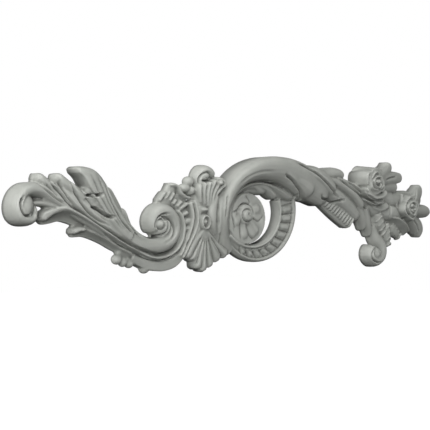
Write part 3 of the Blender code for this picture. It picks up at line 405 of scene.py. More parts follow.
@dataclass(frozen=True)
class LeftLeaf(Feature):
    """Broad acanthus leaf between the curled tip and the volute."""

    def forms(self) -> list[Form]:
        """Lays out the forms.

        Returns:
            The solids that blend into the casting.
        """
        body = [
            Stroke(Kind.SPINE, [
                (-206, 19, 8, 14), (-192, 15.4, 10, 15.5), (-176, 10, 12, 16.5), (-160, 3, 13, 17),
                (-146, -5, 12.5, 17.5), (-130, -14, 10.5, 17.5), (-114, -22, 9.5, 17),
            ]),
            Stroke(Kind.ROUND, [
                (-188, 15, 4, 16), (-199, 22.4, 5, 15.6), (-208, 28.2, 5, 14.8), (-212.4, 33.6, 4.2, 13),
            ], drop=0.25),
            Stroke(Kind.ROUND, [
                (-170, 14, 5, 17.5), (-180, 21.4, 5.8, 17), (-189, 27.6, 5.4, 16), (-194.6, 33.8, 4.6, 14),
            ], drop=0.25),
            Stroke(Kind.ROUND, [
                (-158, 9, 5, 17), (-167, 15.4, 5.4, 16.5), (-175.4, 20.4, 5, 15), (-181.4, 25.4, 4.4, 13),
            ], drop=0.25),
            Stroke(Kind.BAND, [(-150, 15, 3.4, 17), (-168, 21.4, 3.6, 17)], drop=0.1),
            Stroke(Kind.BAND, [(-148, 7, 4.4, 18), (-159.6, 12.6, 4.4, 17.6)], drop=0.1),
            Stroke(Kind.BAND, [(-134, -10, 4, 17), (-146, -6, 4, 16.6)], drop=0.1),
        ]
        folded = [
            Stroke(Kind.FOLD, [
                (-118, -17, 7.4, 18), (-130, -7, 8.4, 18.5), (-140, 4, 9, 19.5), (-147.8, 14.2, 9.6, 20),
                (-154.4, 23, 9.4, 20.5), (-159.6, 28.8, 9.2, 21), (-164, 32.8, 7.8, 21),
                (-169.8, 36.2, 5.1, 20), (-177.6, 38.8, 2.2, 18),
            ], drop=0.1),
            Stroke(Kind.ROUND, [
                (-112, -21, 4.4, 14.5), (-126.2, -6.8, 6.4, 16), (-134.4, 6.4, 6.8, 15.5),
                (-139.8, 16, 6.4, 14.5), (-143.6, 24.6, 4.8, 13),
            ]),
            Stroke(Kind.ROUND, [
                (-95.4, -24.6, 4.4, 14), (-102.4, -21.8, 4.6, 13), (-108.6, -18.6, 4.6, 12.4),
                (-116.6, -11.8, 4.4, 12), (-120.4, -5.2, 4.2, 12), (-123, 1, 4.2, 11.5),
                (-126, 6, 3.4, 10.5),
            ]),
        ]
        lower = [
            Stroke(Kind.SPINE, [
                (-196, 5, 2.4, 15), (-188, 5.6, 2, 17), (-180.4, 2.9, 2, 17.6), (-170.4, -1.7, 2, 17.6),
                (-155, -9.8, 2, 17.4), (-142, -17.2, 2, 17), (-127, -24.5, 2, 16), (-112, -31, 2, 15),
            ]),
            Stroke(Kind.RIGHT_COVE, [
                (-106, -36, 2.6, 11.5), (-128, -27, 3, 13.5), (-148, -16.4, 3.6, 15), (-164, -8, 4.4, 16),
                (-177, -2.6, 5, 16.5), (-188, 0.2, 5.6, 17), (-198, -1, 6.2, 16), (-208.4, -4.2, 5, 14),
            ], drop=0.25),
            Stroke(Kind.ROUND, [
                (-190, 4.4, 3, 15), (-198, 2.8, 3.6, 14.5), (-204, -0.8, 4, 13.5), (-207.6, -5.2, 3.2, 12),
            ]),
            Stroke(Kind.RIGHT_COVE, [
                (-106, -39.4, 2, 9), (-130, -29.4, 2.4, 11), (-143, -23, 2.5, 12), (-154, -18.4, 2.8, 12.5),
                (-162, -15.6, 3.4, 12.5), (-169, -14.2, 4.6, 12.5), (-177.4, -15.2, 4.4, 12),
            ], drop=0.25),
            Stroke(Kind.ROUND, [(-166, -12, 2.6, 13), (-172.6, -12.6, 3.2, 12.5), (-178, -15.4, 3, 11)]),
            Stroke(Kind.PLATE, [(-100, -38, 5, 6), (-112, -36, 4.4, 6), (-128, -31.5, 4, 7)]),
        ]
        return body + folded + lower

    def grooves(self) -> list[Groove]:
        """Lays out the grooves.

        Returns:
            The grooves to press into the blended face.
        """
        return [
            Groove([
                (-203, 33), (-201, 25), (-194, 18.4), (-186.7, 10.9), (-179.7, 5.8), (-169.7, 0.8),
                (-158, -6), (-145, -13), (-131, -20.8), (-117, -28),
            ], 1.7, 4),
            Groove([(-216, 27), (-211, 23), (-205, 18.6), (-197.3, 13.4), (-188, 8.6)], 1.4, 1.8),
            Groove([(-207, 25), (-201.4, 20), (-195, 14.4)], 1.2, 1.2),
            Groove([(-194, 30), (-191, 21.6), (-185.7, 14), (-179, 7.4), (-171, 2.6)], 1.5, 2.6),
            Groove([
                (-183, 33), (-181.4, 23), (-176.4, 14), (-169.6, 5.6), (-160, -2), (-146, -9),
            ], 1.6, 2.8),
            Groove([(-174, 24), (-169.6, 16), (-163, 8), (-156, 1), (-146, -6)], 1.3, 1.6),
            Groove([(-168, 16.4), (-163.6, 16.8), (-159.4, 16.6), (-154, 17.6)], 1.6, 7),
            Groove([(-163, 6.6), (-158, 5.4), (-151, 1), (-145, -1.6), (-140, -1.6)], 1.8, 7),
            Groove([(-166.4, 33), (-161.4, 25.1), (-154.8, 14.4), (-144.5, 0.9), (-131, -12.4)], 1.5, 1.3),
            Groove([(-159, 34), (-154, 23.6), (-147.4, 11.6), (-138.4, -1.4), (-124, -15)], 1.5, 1.3),
            Groove([(-149, 27), (-146.4, 18), (-140.6, 7), (-131.4, -5), (-117, -18)], 1.5, 2.8),
            Groove([(-131.8, 10), (-127.4, 0), (-119.6, -10.4), (-107, -20)], 1.4, 2.2),
            Groove([(-150, -14.6), (-138, -21), (-124, -28), (-110, -34)], 1.4, 2.4),
        ]


@dataclass(frozen=True)
class Volute(Feature):
    """Large volute that the leaf's stem runs into, with its rib, flange and lower beads."""

    def forms(self) -> list[Form]:
        """Lays out the forms.

        Returns:
            The solids that blend into the casting.
        """
        spiral = Stroke(Kind.TUBE, [
            (-134, -11.8, 9, 17.6), (-121, -20.6, 8.8, 17.4), (-109, -26, 8.4, 17), (-97, -28, 8.2, 16.6),
            (-84.6, -28.4, 8.4, 16.6), (-73, -25, 8.6, 16.8), (-65.8, -16.4, 8.4, 17), (-66, -5.6, 8.4, 17),
            (-73, 1.8, 8, 17), (-82.6, 3, 7.8, 16.8), (-89.4, -3.4, 8, 16.4), (-89.2, -10.4, 7.6, 16),
            (-85.4, -14.6, 6.4, 15.4),
        ])
        fill = [Bead(-79.6, -9.4, 4, 13, 12.6, 13.4), Bead(-84.8, -8.4, 12, 3.8, 6, 4)]
        rib = Stroke(Kind.SPINE, [
            (-127, -24.5, 2, 16), (-108.6, -32.2, 2, 14.4), (-96, -37.5, 2, 14), (-84, -39.4, 2, 13.6),
            (-71.4, -37.2, 2, 13.6), (-61.4, -31.8, 2, 13.6), (-55, -23.5, 2, 13.4),
            (-52.4, -12.2, 1.9, 13.4), (-54.6, -1.9, 1.7, 13), (-59.6, 5, 1.5, 12),
        ])
        flange = Stroke(Kind.CHANNEL, [
            (-112, -38.5, 4, 8), (-98, -43.6, 4.8, 8), (-86, -46.4, 5, 9), (-74, -47, 5, 9.5),
            (-62, -43.4, 5.2, 10), (-52.5, -33.8, 5.2, 10.5), (-48, -19, 5, 11), (-49, -2, 5, 11),
        ])
        beads = [
            Bead(-127.6, -39.2, 4.4, 5.4, 4.6, 4.8),
            Bead(-120.6, -41.6, 4, 4.8, 4.4, 4.8),
            Bead(-113.6, -43.2, 4, 4.8, 4.4, 4.6),
            Bead(-95.4, -48.8, 3.4, 5.8, 4.4, 4.8),
        ]
        thin_stem = Stroke(Kind.ROUND, [
            (-118, -39.6, 3, 8), (-107, -43, 2.6, 8), (-96, -47.4, 2.4, 8), (-84, -49, 2.4, 8),
        ])
        return [spiral, rib, flange, thin_stem] + fill + beads

    def grooves(self) -> list[Groove]:
        """Lays out the grooves.

        Returns:
            The grooves to press into the blended face.
        """
        eye = (-84.8, -8.4)
        return [
            Groove([
                (-90, -13.6), (-91.4, -9), (-90.6, -5.4), (-88.3, -2.3), (-85.1, 0), (-80.7, 1.1),
                (-76, 1.4),
            ], 1.5, 3.2),
            Groove([
                (-83.4, -1.8), (-80.2, -3.2), (-76.8, -6), (-75.9, -10.1), (-76.9, -14.2), (-79.8, -17),
                (-85, -18.6), (-91.3, -19.2), (-97, -18.4),
            ], 1.5, 3.4),
            Groove([(-82, -18.6), (-88, -19.8), (-94, -20), (-101, -18.4)], 1.9, 9),
            Groove([
                (-86.3, -0.6), (-80.7, -1.4), (-77, -3.2), (-72.7, -5.5), (-69.8, -9.2), (-68.8, -13),
                (-69.4, -17.6), (-72.4, -22.2),
            ], 1.5, 2.6),
            Groove([on_circle(eye, 4.8, turn) for turn in range(0, 361, 30)], 1.2, 2.2),
            Groove([(-82, -26), (-73.6, -22.6), (-67.6, -15.6), (-67, -7.6)], 1.6, 0.8),
            Groove([
                (-131, -19.6), (-117, -27), (-106.6, -31), (-96.1, -33.9), (-84.1, -35.5), (-72.4, -33.2),
                (-62.4, -27), (-58.4, -18.7), (-56.8, -9.4), (-58.6, -0.6), (-62, 6),
            ], 1.8, 4.2),
            Groove([
                (-112, -34.4), (-104.4, -37), (-92.7, -40.6), (-82, -42.2), (-69.6, -40.6), (-58, -34.9),
                (-51.4, -26), (-49, -14),
            ], 1.5, 2.4),
        ]


@dataclass(frozen=True)
class Ear(Feature):
    """Fluted ear that rises from the volute's top, and the flutes down to the shell."""

    def forms(self) -> list[Form]:
        """Lays out the forms.

        Returns:
            The solids that blend into the casting.
        """
        flutes = [
            [(-82, 12, 1.9, 10), (-76, 18.4, 2, 10), (-72, 22.4, 1.9, 10.2)],
            [(-75, 13.6, 1.9, 10.5), (-70.6, 19, 1.9, 10.6), (-67.2, 22.8, 1.7, 11)],
            [(-69.6, 12, 1.7, 11), (-65.4, 18.6, 1.8, 11.6), (-62.4, 21, 1.6, 12)],
            [(-66, 9, 1.8, 11), (-60.4, 15.8, 1.9, 12)],
            [(-61.8, 7, 2.2, 11.6), (-53.6, 14, 2.2, 12.6)],
            [(-58.6, 4.6, 2.2, 12), (-46.4, 12, 2.4, 13)],
            [(-57.4, -1.4, 2.4, 12), (-46.4, 3, 2.6, 13.4)],
            [(-55, -8.4, 3.2, 12), (-43.6, -4.6, 3.4, 13.6)],
            [(-55, -15, 2.4, 12), (-44.6, -12, 2.6, 13.6)],
            [(-56, -26, 4.4, 12), (-47, -22, 4.8, 13.4)],
            [(-60, -36, 3.4, 11), (-51, -34, 3.4, 12.4)],
        ]
        return [Stroke(Kind.SPINE, flute, round_start=True) for flute in flutes] + [
            Stroke(Kind.SPINE, [
                (-77.4, 2, 8, 11), (-72.4, 11, 7.4, 9.6), (-67.6, 18.4, 6.4, 9.6), (-64.4, 25.4, 5.6, 9.6),
                (-63.2, 29.8, 3.6, 9),
            ], drop=0.2),
            Stroke(Kind.SPINE, [
                (-68.6, 27.8, 2, 9.6), (-65, 28.4, 2, 11.6), (-61.2, 27.4, 2, 12.6), (-58.8, 25.4, 2, 13.2),
                (-57.2, 21.8, 2, 13.4), (-54.6, 19.4, 2, 13.6), (-50.6, 17, 1.9, 13.8),
                (-44.6, 16.2, 1.8, 14),
            ]),
            Stroke(Kind.PLATE, [
                (-74, 6, 7, 7.5), (-64, 11, 7.4, 8), (-55, 9, 8, 9), (-49, -6, 7, 9.5), (-51, -20, 7, 9.5),
                (-55, -34, 6, 8.5),
            ]),
        ]


@dataclass(frozen=True)
class Shell(Feature):
    """Shell cartouche between the volute and the ring, with rolled top, flutes and medallion."""

    fan_root: Point = (-28.6, -13)
    fan_tips: tuple[Point, ...] = (
        (-49, -41.8), (-41, -44.6), (-33.6, -53), (-25.4, -55.6),
        (-15.8, -51.6), (-4.4, -45.4), (6.8, -40.6),
    )

    def forms(self) -> list[Form]:
        """Lays out the forms.

        Returns:
            The solids that blend into the casting.
        """
        upper = [
            [(-33, 12, 1.8, 15), (-34.4, 23.8, 2.4, 16.5), (-33.4, 31, 2.6, 16.5)],
            [(-27.8, 11, 1.8, 15.5), (-29.4, 23, 2.4, 16.8), (-27, 32.4, 2.6, 16.8)],
            [(-24.4, 9, 1.8, 16), (-24.8, 21, 2.4, 17.4), (-20.6, 33.8, 2.8, 17)],
            [(-22.6, 10, 1.7, 17), (-21, 23, 2.2, 18), (-13.6, 35, 2.8, 17.4)],
            [(-21, 9, 1.6, 18), (-17.6, 20.6, 2.2, 18.4), (-9.4, 32.6, 2.8, 18.4)],
            [(-18.4, 13, 1.6, 18), (-13, 21.6, 2.1, 18.6), (-5, 28.6, 2.8, 19)],
        ]
        crescents = [
            [
                (-13, -18, 3, 15), (-18, -8, 5.4, 18.5), (-19, 3, 6.2, 19.5), (-16.4, 13, 5.4, 19),
                (-11.6, 20.6, 3.4, 18),
            ],
            [
                (-6.4, -18, 2.6, 14), (-7.8, -6, 3.6, 17), (-8, 4, 4, 18), (-6, 14, 3.2, 17.5),
                (-1, 22, 2.2, 17),
            ],
            [(-0.6, -18, 2, 13), (-1.4, -4, 2.6, 16), (-1, 8, 2.6, 17), (3, 19, 2, 17)],
        ]
        roll = [
            Stroke(Kind.TUBE, [
                (-33, 4, 6, 13), (-31, 16, 7, 13.5), (-29.4, 28, 7.6, 14), (-28.2, 37.2, 8.2, 14.6),
                (-23.4, 42.4, 6.8, 15), (-16.6, 41, 5.2, 15), (-14.6, 36.4, 3.6, 14.4),
            ], drop=0.25),
            Bead(-25.4, 37.6, 11, 4.2, 4.6, 2.8),
            Bead(-42, 32, 5, 5.8, 6, 5.2),
            Bead(-47.6, 25.6, 5, 6.6, 6.4, 4.4),
            Bead(-40.4, 23.4, 4, 5, 8, 5),
            Bead(-10.6, 31.4, 18, 2.6, 3.4, 2.6),
            Stroke(Kind.SPINE, [
                (-15, 35.4, 1.8, 18.5), (-8.6, 34.8, 2.4, 20), (-4.4, 30.6, 2.6, 20.4),
                (-5.4, 25.4, 2.6, 19.6),
            ], round_start=True),
            Stroke(Kind.PLATE, [(-30, 31, 4, 10), (-22, 32.4, 4, 10), (-12, 32, 4, 10)]),
        ]
        medallion = [
            Bead(-28.4, -4.6, 6.5, 7, 9.5, 12),
            Bead(-26, 9, 8, 7, 6, 8.6),
            Stroke(
                Kind.SPINE,
                [on_circle((-28.8, -7), 6.2, angle, 0.8) + (1.5, 18.6) for angle in range(-90, 271, 30)],
                round_end=False,
            ),
            Bead(-29.4, -6.6, 14, 2.4, 4.6, 2.9),
            Stroke(Kind.SPINE, [
                (-34, 3.6, 2, 16.5), (-29, 5.4, 2.2, 18), (-24, 4, 2, 16.5),
            ], round_start=True),
        ]
        wing = [
            Stroke(Kind.SPINE, [
                (-41.5, 14, 1.8, 16), (-39.2, 4.8, 1.8, 17.5), (-38.8, -7, 1.8, 17.5),
                (-41.8, -16.2, 1.8, 17), (-46.6, -26, 1.8, 15.5), (-51, -35, 1.8, 14),
                (-54.4, -42, 1.7, 12),
            ]),
            Stroke(Kind.SPINE, [
                (-45.6, 12, 2, 15), (-43.4, 0, 2, 16), (-45, -10, 2, 16), (-48.4, -20, 2, 15),
                (-53, -31, 2, 13.5), (-57.6, -40, 2, 12),
            ]),
            Stroke(Kind.PLATE, [
                (-34, 8, 9, 14), (-33, -12, 9, 14), (-33, -28, 11, 13), (-31, -38, 12, 11),
            ]),
            Stroke(Kind.PLATE, [
                (-22, 28, 6, 13), (-16, 16, 8, 14), (-13, -4, 9, 14), (-14, -28, 8, 12), (-8, -34, 7, 11),
            ]),
        ]
        ribs = [Stroke(Kind.SPINE, path) for path in upper + crescents]
        return (roll + medallion + wing + ribs
                + fan(Kind.SPINE, self.fan_root, self.fan_tips, 2.2, 5.6, 16.5, 13, 0.05))

    def grooves(self) -> list[Groove]:
        """Lays out the grooves.

        Returns:
            The grooves to press into the blended face.
        """
        between = []
        for tip, following in zip(self.fan_tips, self.fan_tips[1:]):
            gap = (mix(tip[0], following[0], 0.5), mix(tip[1], following[1], 0.5))
            line = [(mix(self.fan_root[0], gap[0], share), mix(self.fan_root[1], gap[1],
                                                               share)) for share in (0.25, 0.6, 1)]
            between.append(Groove(line, 1.4, 2.2))
        return between + [
            Groove([
                (-34, 30), (-33, 36.4), (-29, 40.2), (-24.9, 41.4), (-21.5, 40.3), (-19.6, 36.8),
            ], 1.4, 3.2),
            Groove([(-31.4, 33.2), (-24, 33), (-16.6, 33.6)], 1.5, 4),
            Groove([(-33, 0.8), (-28.4, 1.6), (-24.2, 1)], 1.1, 0.6),
            Groove([
                (-42.8, 10), (-41.4, 0), (-42, -8), (-44.8, -17), (-49.6, -27), (-53.6, -36.5),
            ], 1.2, 2.4),
            Groove([
                (-37.6, 12), (-36.6, 2), (-36.8, -9), (-39.6, -17), (-44.4, -26), (-48.8, -34.6),
                (-52.4, -43),
            ], 1.4, 3.4),
            Groove([(-11.4, 19), (-11, 9.8), (-11.6, 0), (-9.4, -10)], 1.3, 2.6),
            Groove([(-3, 20), (-4, 9), (-3.8, -4)], 1.2, 2.2),
        ]


@dataclass(frozen=True)
class RingScroll(Feature):
    """C-scroll ring: the deep arc, its inner rib, the channel with its ridge and the flange of cells."""

    ridge_centre: Point = (43.0, 3.0)
    ridge_radii: Point = (43.5, 36.3)
    rim_centre: Point = (57.5, 6.0)
    rim_radii: Point = (61.2, 54.6)
    cells: int = 10
    cell_start: float = -111.0
    cell_step: float = 12.6

    def on_flange(self, degrees: float, share: float) -> Point:
        """Finds a point of the flange.

        Args:
            degrees: Angle round the ring, from its right side.
            share: Share of the way from the flange's ridge to its rim.

        Returns:
            The point in the back plane.
        """
        angle = math.radians(degrees)
        centre = Vector(self.ridge_centre).lerp(Vector(self.rim_centre), share)
        radii = Vector(self.ridge_radii).lerp(Vector(self.rim_radii), share)
        return (centre.x + radii.x * math.cos(angle), centre.y + radii.y * math.sin(angle))

    def lane(self, share: float, start_width: float, end_width: float, height: float) -> list[Station]:
        """Lays out a strip that runs round the flange.

        Args:
            share: Share of the way from the flange's ridge to its rim.
            start_width: Half width on the underside.
            end_width: Half width on the right.
            height: Height of its crown.

        Returns:
            The stations of the strip.
        """
        stations = []
        for angle in range(-140, 21, 10):
            width = mix(start_width, end_width, (angle + 140) / 160)
            stations.append(self.on_flange(angle, share) + (width, height))
        return stations

    def forms(self) -> list[Form]:
        """Lays out the forms.

        Returns:
            The solids that blend into the casting.
        """
        arc = Stroke(Kind.ARC, [
            (16, -35, 8, 9), (5, -24, 8, 13), (0, -11, 7.6, 17), (-1.4, 2, 7.4, 20), (1, 14, 7.6, 22.5),
            (6.4, 24.6, 8.2, 24.5), (14.6, 33.4, 9, 26.5), (27, 40.8, 9.8, 28), (41.5, 45.4, 11.2, 28.6),
            (58, 47.6, 12.8, 28.6), (75, 47.6, 14, 28.4), (93, 44.6, 16.2, 27.6), (113, 38.6, 18.2, 26.4),
            (133, 32.6, 17.8, 24.6), (150, 26, 16, 22.6), (166, 18, 12, 19),
        ])
        rib = Stroke(Kind.SPINE, [
            (17, -24, 1.7, 11), (11.4, -10, 1.7, 14), (8.6, 1, 1.7, 14.5), (10, 10, 1.7, 15),
            (14.2, 18, 1.7, 15.5), (21.4, 24.6, 1.7, 15.5), (31.8, 29.4, 1.7, 16), (43.6, 32, 1.7, 16),
            (57, 32.2, 1.7, 16), (70, 30, 1.7, 16.5), (82, 26.2, 1.7, 16.5), (95, 22, 1.7, 15.5),
        ])
        inside = Stroke(Kind.PLATE, [
            (18, -22, 7, 9.5), (14, -8, 6, 10), (14, 6, 6, 10), (20, 18, 6, 10), (33, 24, 5, 10),
        ])
        ridge = Stroke(Kind.SPINE, self.lane(0, 2, 2, 13.5), round_end=False)
        channel = Stroke(Kind.CHANNEL, self.lane(0.06, 3.7, 3.7, 10.5), round_end=False)
        base = Stroke(Kind.BAND, self.lane(0.3, 5, 9, 7.5), round_end=False)
        field = Stroke(Kind.BAND, self.lane(0.56, 4.4, 13.4, 8.6), round_end=False)
        lip = Stroke(Kind.ROUND, self.lane(0.84, 2.2, 5, 10), round_end=False)
        cells = []
        for number in range(self.cells):
            angle = self.cell_start + self.cell_step * number
            width = mix(3.2, 4, number / (self.cells - 1))
            near = self.on_flange(angle, 0.18) + (width, 11)
            far = self.on_flange(angle, 0.68) + (width, 10.4)
            cells.append(Stroke(Kind.BAND, [near, far], round_start=True, drop=0.15))
        return [arc, rib, inside, ridge, channel, base, field, lip] + cells

    def grooves(self) -> list[Groove]:
        """Lays out the grooves.

        Returns:
            The grooves to press into the blended face.
        """
        between = []
        for number in range(-1, self.cells):
            angle = self.cell_start + self.cell_step * (number + 0.5)
            between.append(
                Groove([
                    self.on_flange(angle, 0.1),
                    self.on_flange(angle, 0.45),
                    self.on_flange(angle, 0.84),
                ], 1.4, 1.1),
            )
        pads = []
        for number in range(self.cells):
            angle = self.cell_start + self.cell_step * number
            corners = [
                self.on_flange(angle - 3, 0.28),
                self.on_flange(angle + 3, 0.28),
                self.on_flange(angle + 3.4, 0.6),
                self.on_flange(angle - 3.4, 0.6),
            ]
            pads.append(Groove(corners + corners[:1], 0.8, 0.5))
        return between + pads + [
            Groove([
                (10.4, -16), (6, -5), (4.6, 3), (6.4, 11), (10.6, 19.6), (18.4, 26.6), (30.2, 31.8),
                (43, 34.6), (58.4, 35), (73, 32.8), (88, 28),
            ], 1.7, 3.4),
            Groove([(15, -12), (12.2, 0), (13.2, 9), (17.4, 15.6), (25, 21), (34, 25)], 1.5, 3),
            Groove([self.on_flange(angle, 0.09) for angle in range(-125, 26, 10)], 1.3, 1.6),
            Groove([self.on_flange(angle, 0.72) for angle in range(-125, 16, 10)], 1.1, 1),
            Groove([(8, 28.6), (18, 36.4), (30, 41.6), (44, 44.4), (60, 45)], 2, 0.7),
        ]


@dataclass(frozen=True)
class Rosette(Feature):
    """Flat disc inside the ring, with a raised spiral bud and five petals."""

    centre: Point = (34.6, -3.5)
    bud: Point = (31.5, 1.0)
    seams: tuple[int, ...] = (80, -10, -84, -132, 150)

    def forms(self) -> list[Form]:
        """Lays out the forms.

        Returns:
            The solids that blend into the casting.
        """
        petals = []
        for seam, following in zip(self.seams, self.seams[1:] + (self.seams[0] - 360,)):
            middle = (seam + (following if following < seam else following - 360)) / 2
            root = on_circle(self.bud, 8, middle) + (7, 13.6)
            belly = on_circle(self.centre, 17, middle) + (9, 14.6)
            edge = on_circle(self.centre, 25.4, middle) + (8, 13)
            petals.append(Stroke(Kind.ROUND, [root, belly, edge]))
        return petals + [
            Cup(self.centre, 26.2, 25.8, 12.8, 1.048),
            Bead(self.bud[0], self.bud[1], 9, 11.4, 9, 12.4),
        ]

    def grooves(self) -> list[Groove]:
        """Lays out the grooves.

        Returns:
            The grooves to press into the blended face.
        """
        spiral = [on_circle(self.bud, mix(2.6, 12, turn / 20), 30 * turn - 60, 1.1) for turn in range(21)]
        seams = []
        for seam in self.seams:
            swept = [
                on_circle(self.bud, 10.5, seam - 12),
                on_circle(self.centre, 17, seam),
                on_circle(self.centre, 23.6, seam + 16),
            ]
            seams.append(Groove(swept, 1.6, 1.2))
        return seams + [
            Groove(spiral, 1.4, 2.8),
            Groove([
                (self.bud[0] - 0.6, self.bud[1]),
                self.bud,
                (self.bud[0] + 0.6, self.bud[1]),
            ], 1.8, 2.4),
        ]


@dataclass(frozen=True)
class InnerLeaf(Feature):
    """Leaf under the arc, whose scalloped edge closes the top of the ring."""

    def forms(self) -> list[Form]:
        """Lays out the forms.

        Returns:
            The solids that blend into the casting.
        """
        return [
            Stroke(Kind.ROUND, [
                (20, 21.5, 4, 11), (34, 26.5, 5, 11.5), (50, 27.2, 6.4, 12), (68, 28, 6.6, 12.5),
                (88, 25.4, 9, 13.5), (106, 23, 7, 14),
            ]),
            Stroke(Kind.ROUND, [
                (28, 27, 2.6, 13), (44, 29.4, 3.4, 14), (55, 25.8, 4.8, 14), (64, 24.4, 3.6, 12),
            ]),
            Stroke(Kind.ROUND, [
                (45, 31, 3, 14), (62, 28.4, 4.6, 15), (74, 22.4, 5, 14.5), (82, 18.4, 3.6, 12),
            ]),
            Stroke(Kind.ROUND, [
                (66, 31, 4, 15), (84, 26, 6, 15.5), (98, 20.8, 5.4, 15), (108, 18.4, 3.8, 13),
            ]),
        ]


@dataclass(frozen=True)
class ArcLeaves(Feature):
    """Leaves that wrap the arc's right half and end in lobes above the fern."""

    def forms(self) -> list[Form]:
        """Lays out the forms.

        Returns:
            The solids that blend into the casting.
        """
        return [
            Stroke(Kind.ROUND, [
                (86, 44, 9, 26), (106, 38, 13, 26.6), (122, 31.5, 15, 26), (136, 24.5, 12, 24),
            ]),
            Stroke(Kind.ROUND, [
                (108, 50, 5, 25), (124, 46.5, 9, 26), (142, 42, 12.5, 26), (160, 34.5, 13, 24.5),
                (176, 25.5, 9, 22),
            ]),
            Stroke(Kind.ROUND, [
                (150, 44, 6.6, 22), (164, 45, 7.8, 21.5), (179, 46.8, 8, 20.5), (196.8, 45.6, 7.2, 18.5),
            ]),
            Stroke(Kind.SPINE, [
                (160, 41, 6, 22), (180, 36.5, 6, 21.5), (198, 30.5, 6, 21), (216, 22, 6.4, 20),
                (236, 9, 6, 18),
            ]),
            Stroke(Kind.ROUND, [
                (150, 32, 10, 22), (175, 26, 11, 20), (195, 18, 12, 18), (214, 8, 12, 16), (232, -4, 9, 14),
            ]),
            Stroke(Kind.ROUND, [
                (178, 42, 4, 20), (200, 37.6, 4.4, 20), (220, 32, 5.4, 19), (240, 22, 7, 18),
                (258, 12, 7, 17),
            ]),
            Stroke(Kind.BAND, [
                (108, 22.8, 5, 13), (124, 21.4, 6, 13), (140, 19.4, 6, 13), (154, 18.2, 4, 13),
            ]),
        ]

    def grooves(self) -> list[Groove]:
        """Lays out the grooves.

        Returns:
            The grooves to press into the blended face.
        """
        return [
            Groove([
                (78, 42.6), (91.4, 37.1), (99.7, 32), (107.7, 26.9), (114.1, 21.6), (125.3, 13.8),
            ], 1.9, 4),
            Groove([
                (98, 56), (117.2, 50.8), (134.8, 44.4), (150.5, 36.7), (166.1, 28.2), (181, 20),
            ], 1.9, 3.6),
            Groove([(183, 40), (201.6, 32.5), (223, 24.8), (245.2, 16.8), (266, 11)], 2, 3),
            Groove([(108, 23), (109, 18), (110, 14)], 1.6, 4),
            Groove([(198, 38), (214, 33), (232, 25)], 1.8, 1.8),
            Groove([
                (146, 22), (149, 19), (157, 17.4), (166, 18), (174, 14.6), (184, 16.6), (194, 17.4),
            ], 1.8, 4.5),
        ]


@dataclass(frozen=True)
class Fern(Feature):
    """Ribbed frond along the lower edge."""

    def forms(self) -> list[Form]:
        """Lays out the forms.

        Returns:
            The solids that blend into the casting.
        """
        start = (163, 14.2)
        end = (214, -12.8)
        count = 12
        ribs = []
        for number in range(count):
            share = number / (count - 1)
            x = mix(start[0], end[0], share)
            z = mix(start[1], end[1], share)
            length = mix(6, 9, share)
            ribs.append(
                Stroke(Kind.SPINE, [
                    (x + 6, z + length, 1.7, 14.5), (x + 1.4, z + length * 0.4, 2, 13.6),
                    (x - 0.6, z - 3.2, 1.9, 10),
                ], round_start=True),
            )
        return ribs + [
            Stroke(Kind.BAND, [start + (4, 8), (187, 1, 5, 9), end + (5, 9)]),
            Stroke(Kind.ROUND, [(168, 20, 5, 13.6), (190, 11, 8, 14), (214, -1, 7.6, 13.5)]),
        ]


@dataclass(frozen=True)
class HangingLobes(Feature):
    """Drooping lobes between the fern and the lower curl."""

    def forms(self) -> list[Form]:
        """Lays out the forms.

        Returns:
            The solids that blend into the casting.
        """
        return [
            Stroke(Kind.ROUND, [(209, 12, 9, 15), (222, 3, 8, 13.5), (229.4, -5, 5.5, 10)]),
            Stroke(Kind.ROUND, [
                (228, 12, 10, 16), (239, 0, 8.8, 14.5), (244.4, -11, 6.4, 12), (246.2, -19.4, 4.8, 9),
            ]),
            Stroke(Kind.ROUND, [
                (242, 8, 10, 16), (250, -7, 9, 14.5), (256.4, -18, 7.2, 12), (258.6, -27.4, 4.8, 9),
            ]),
            Stroke(Kind.ROUND, [(248, 12, 9, 15), (264, 6, 9, 15), (282, 2, 9, 15), (300, 2, 9, 15)]),
        ]


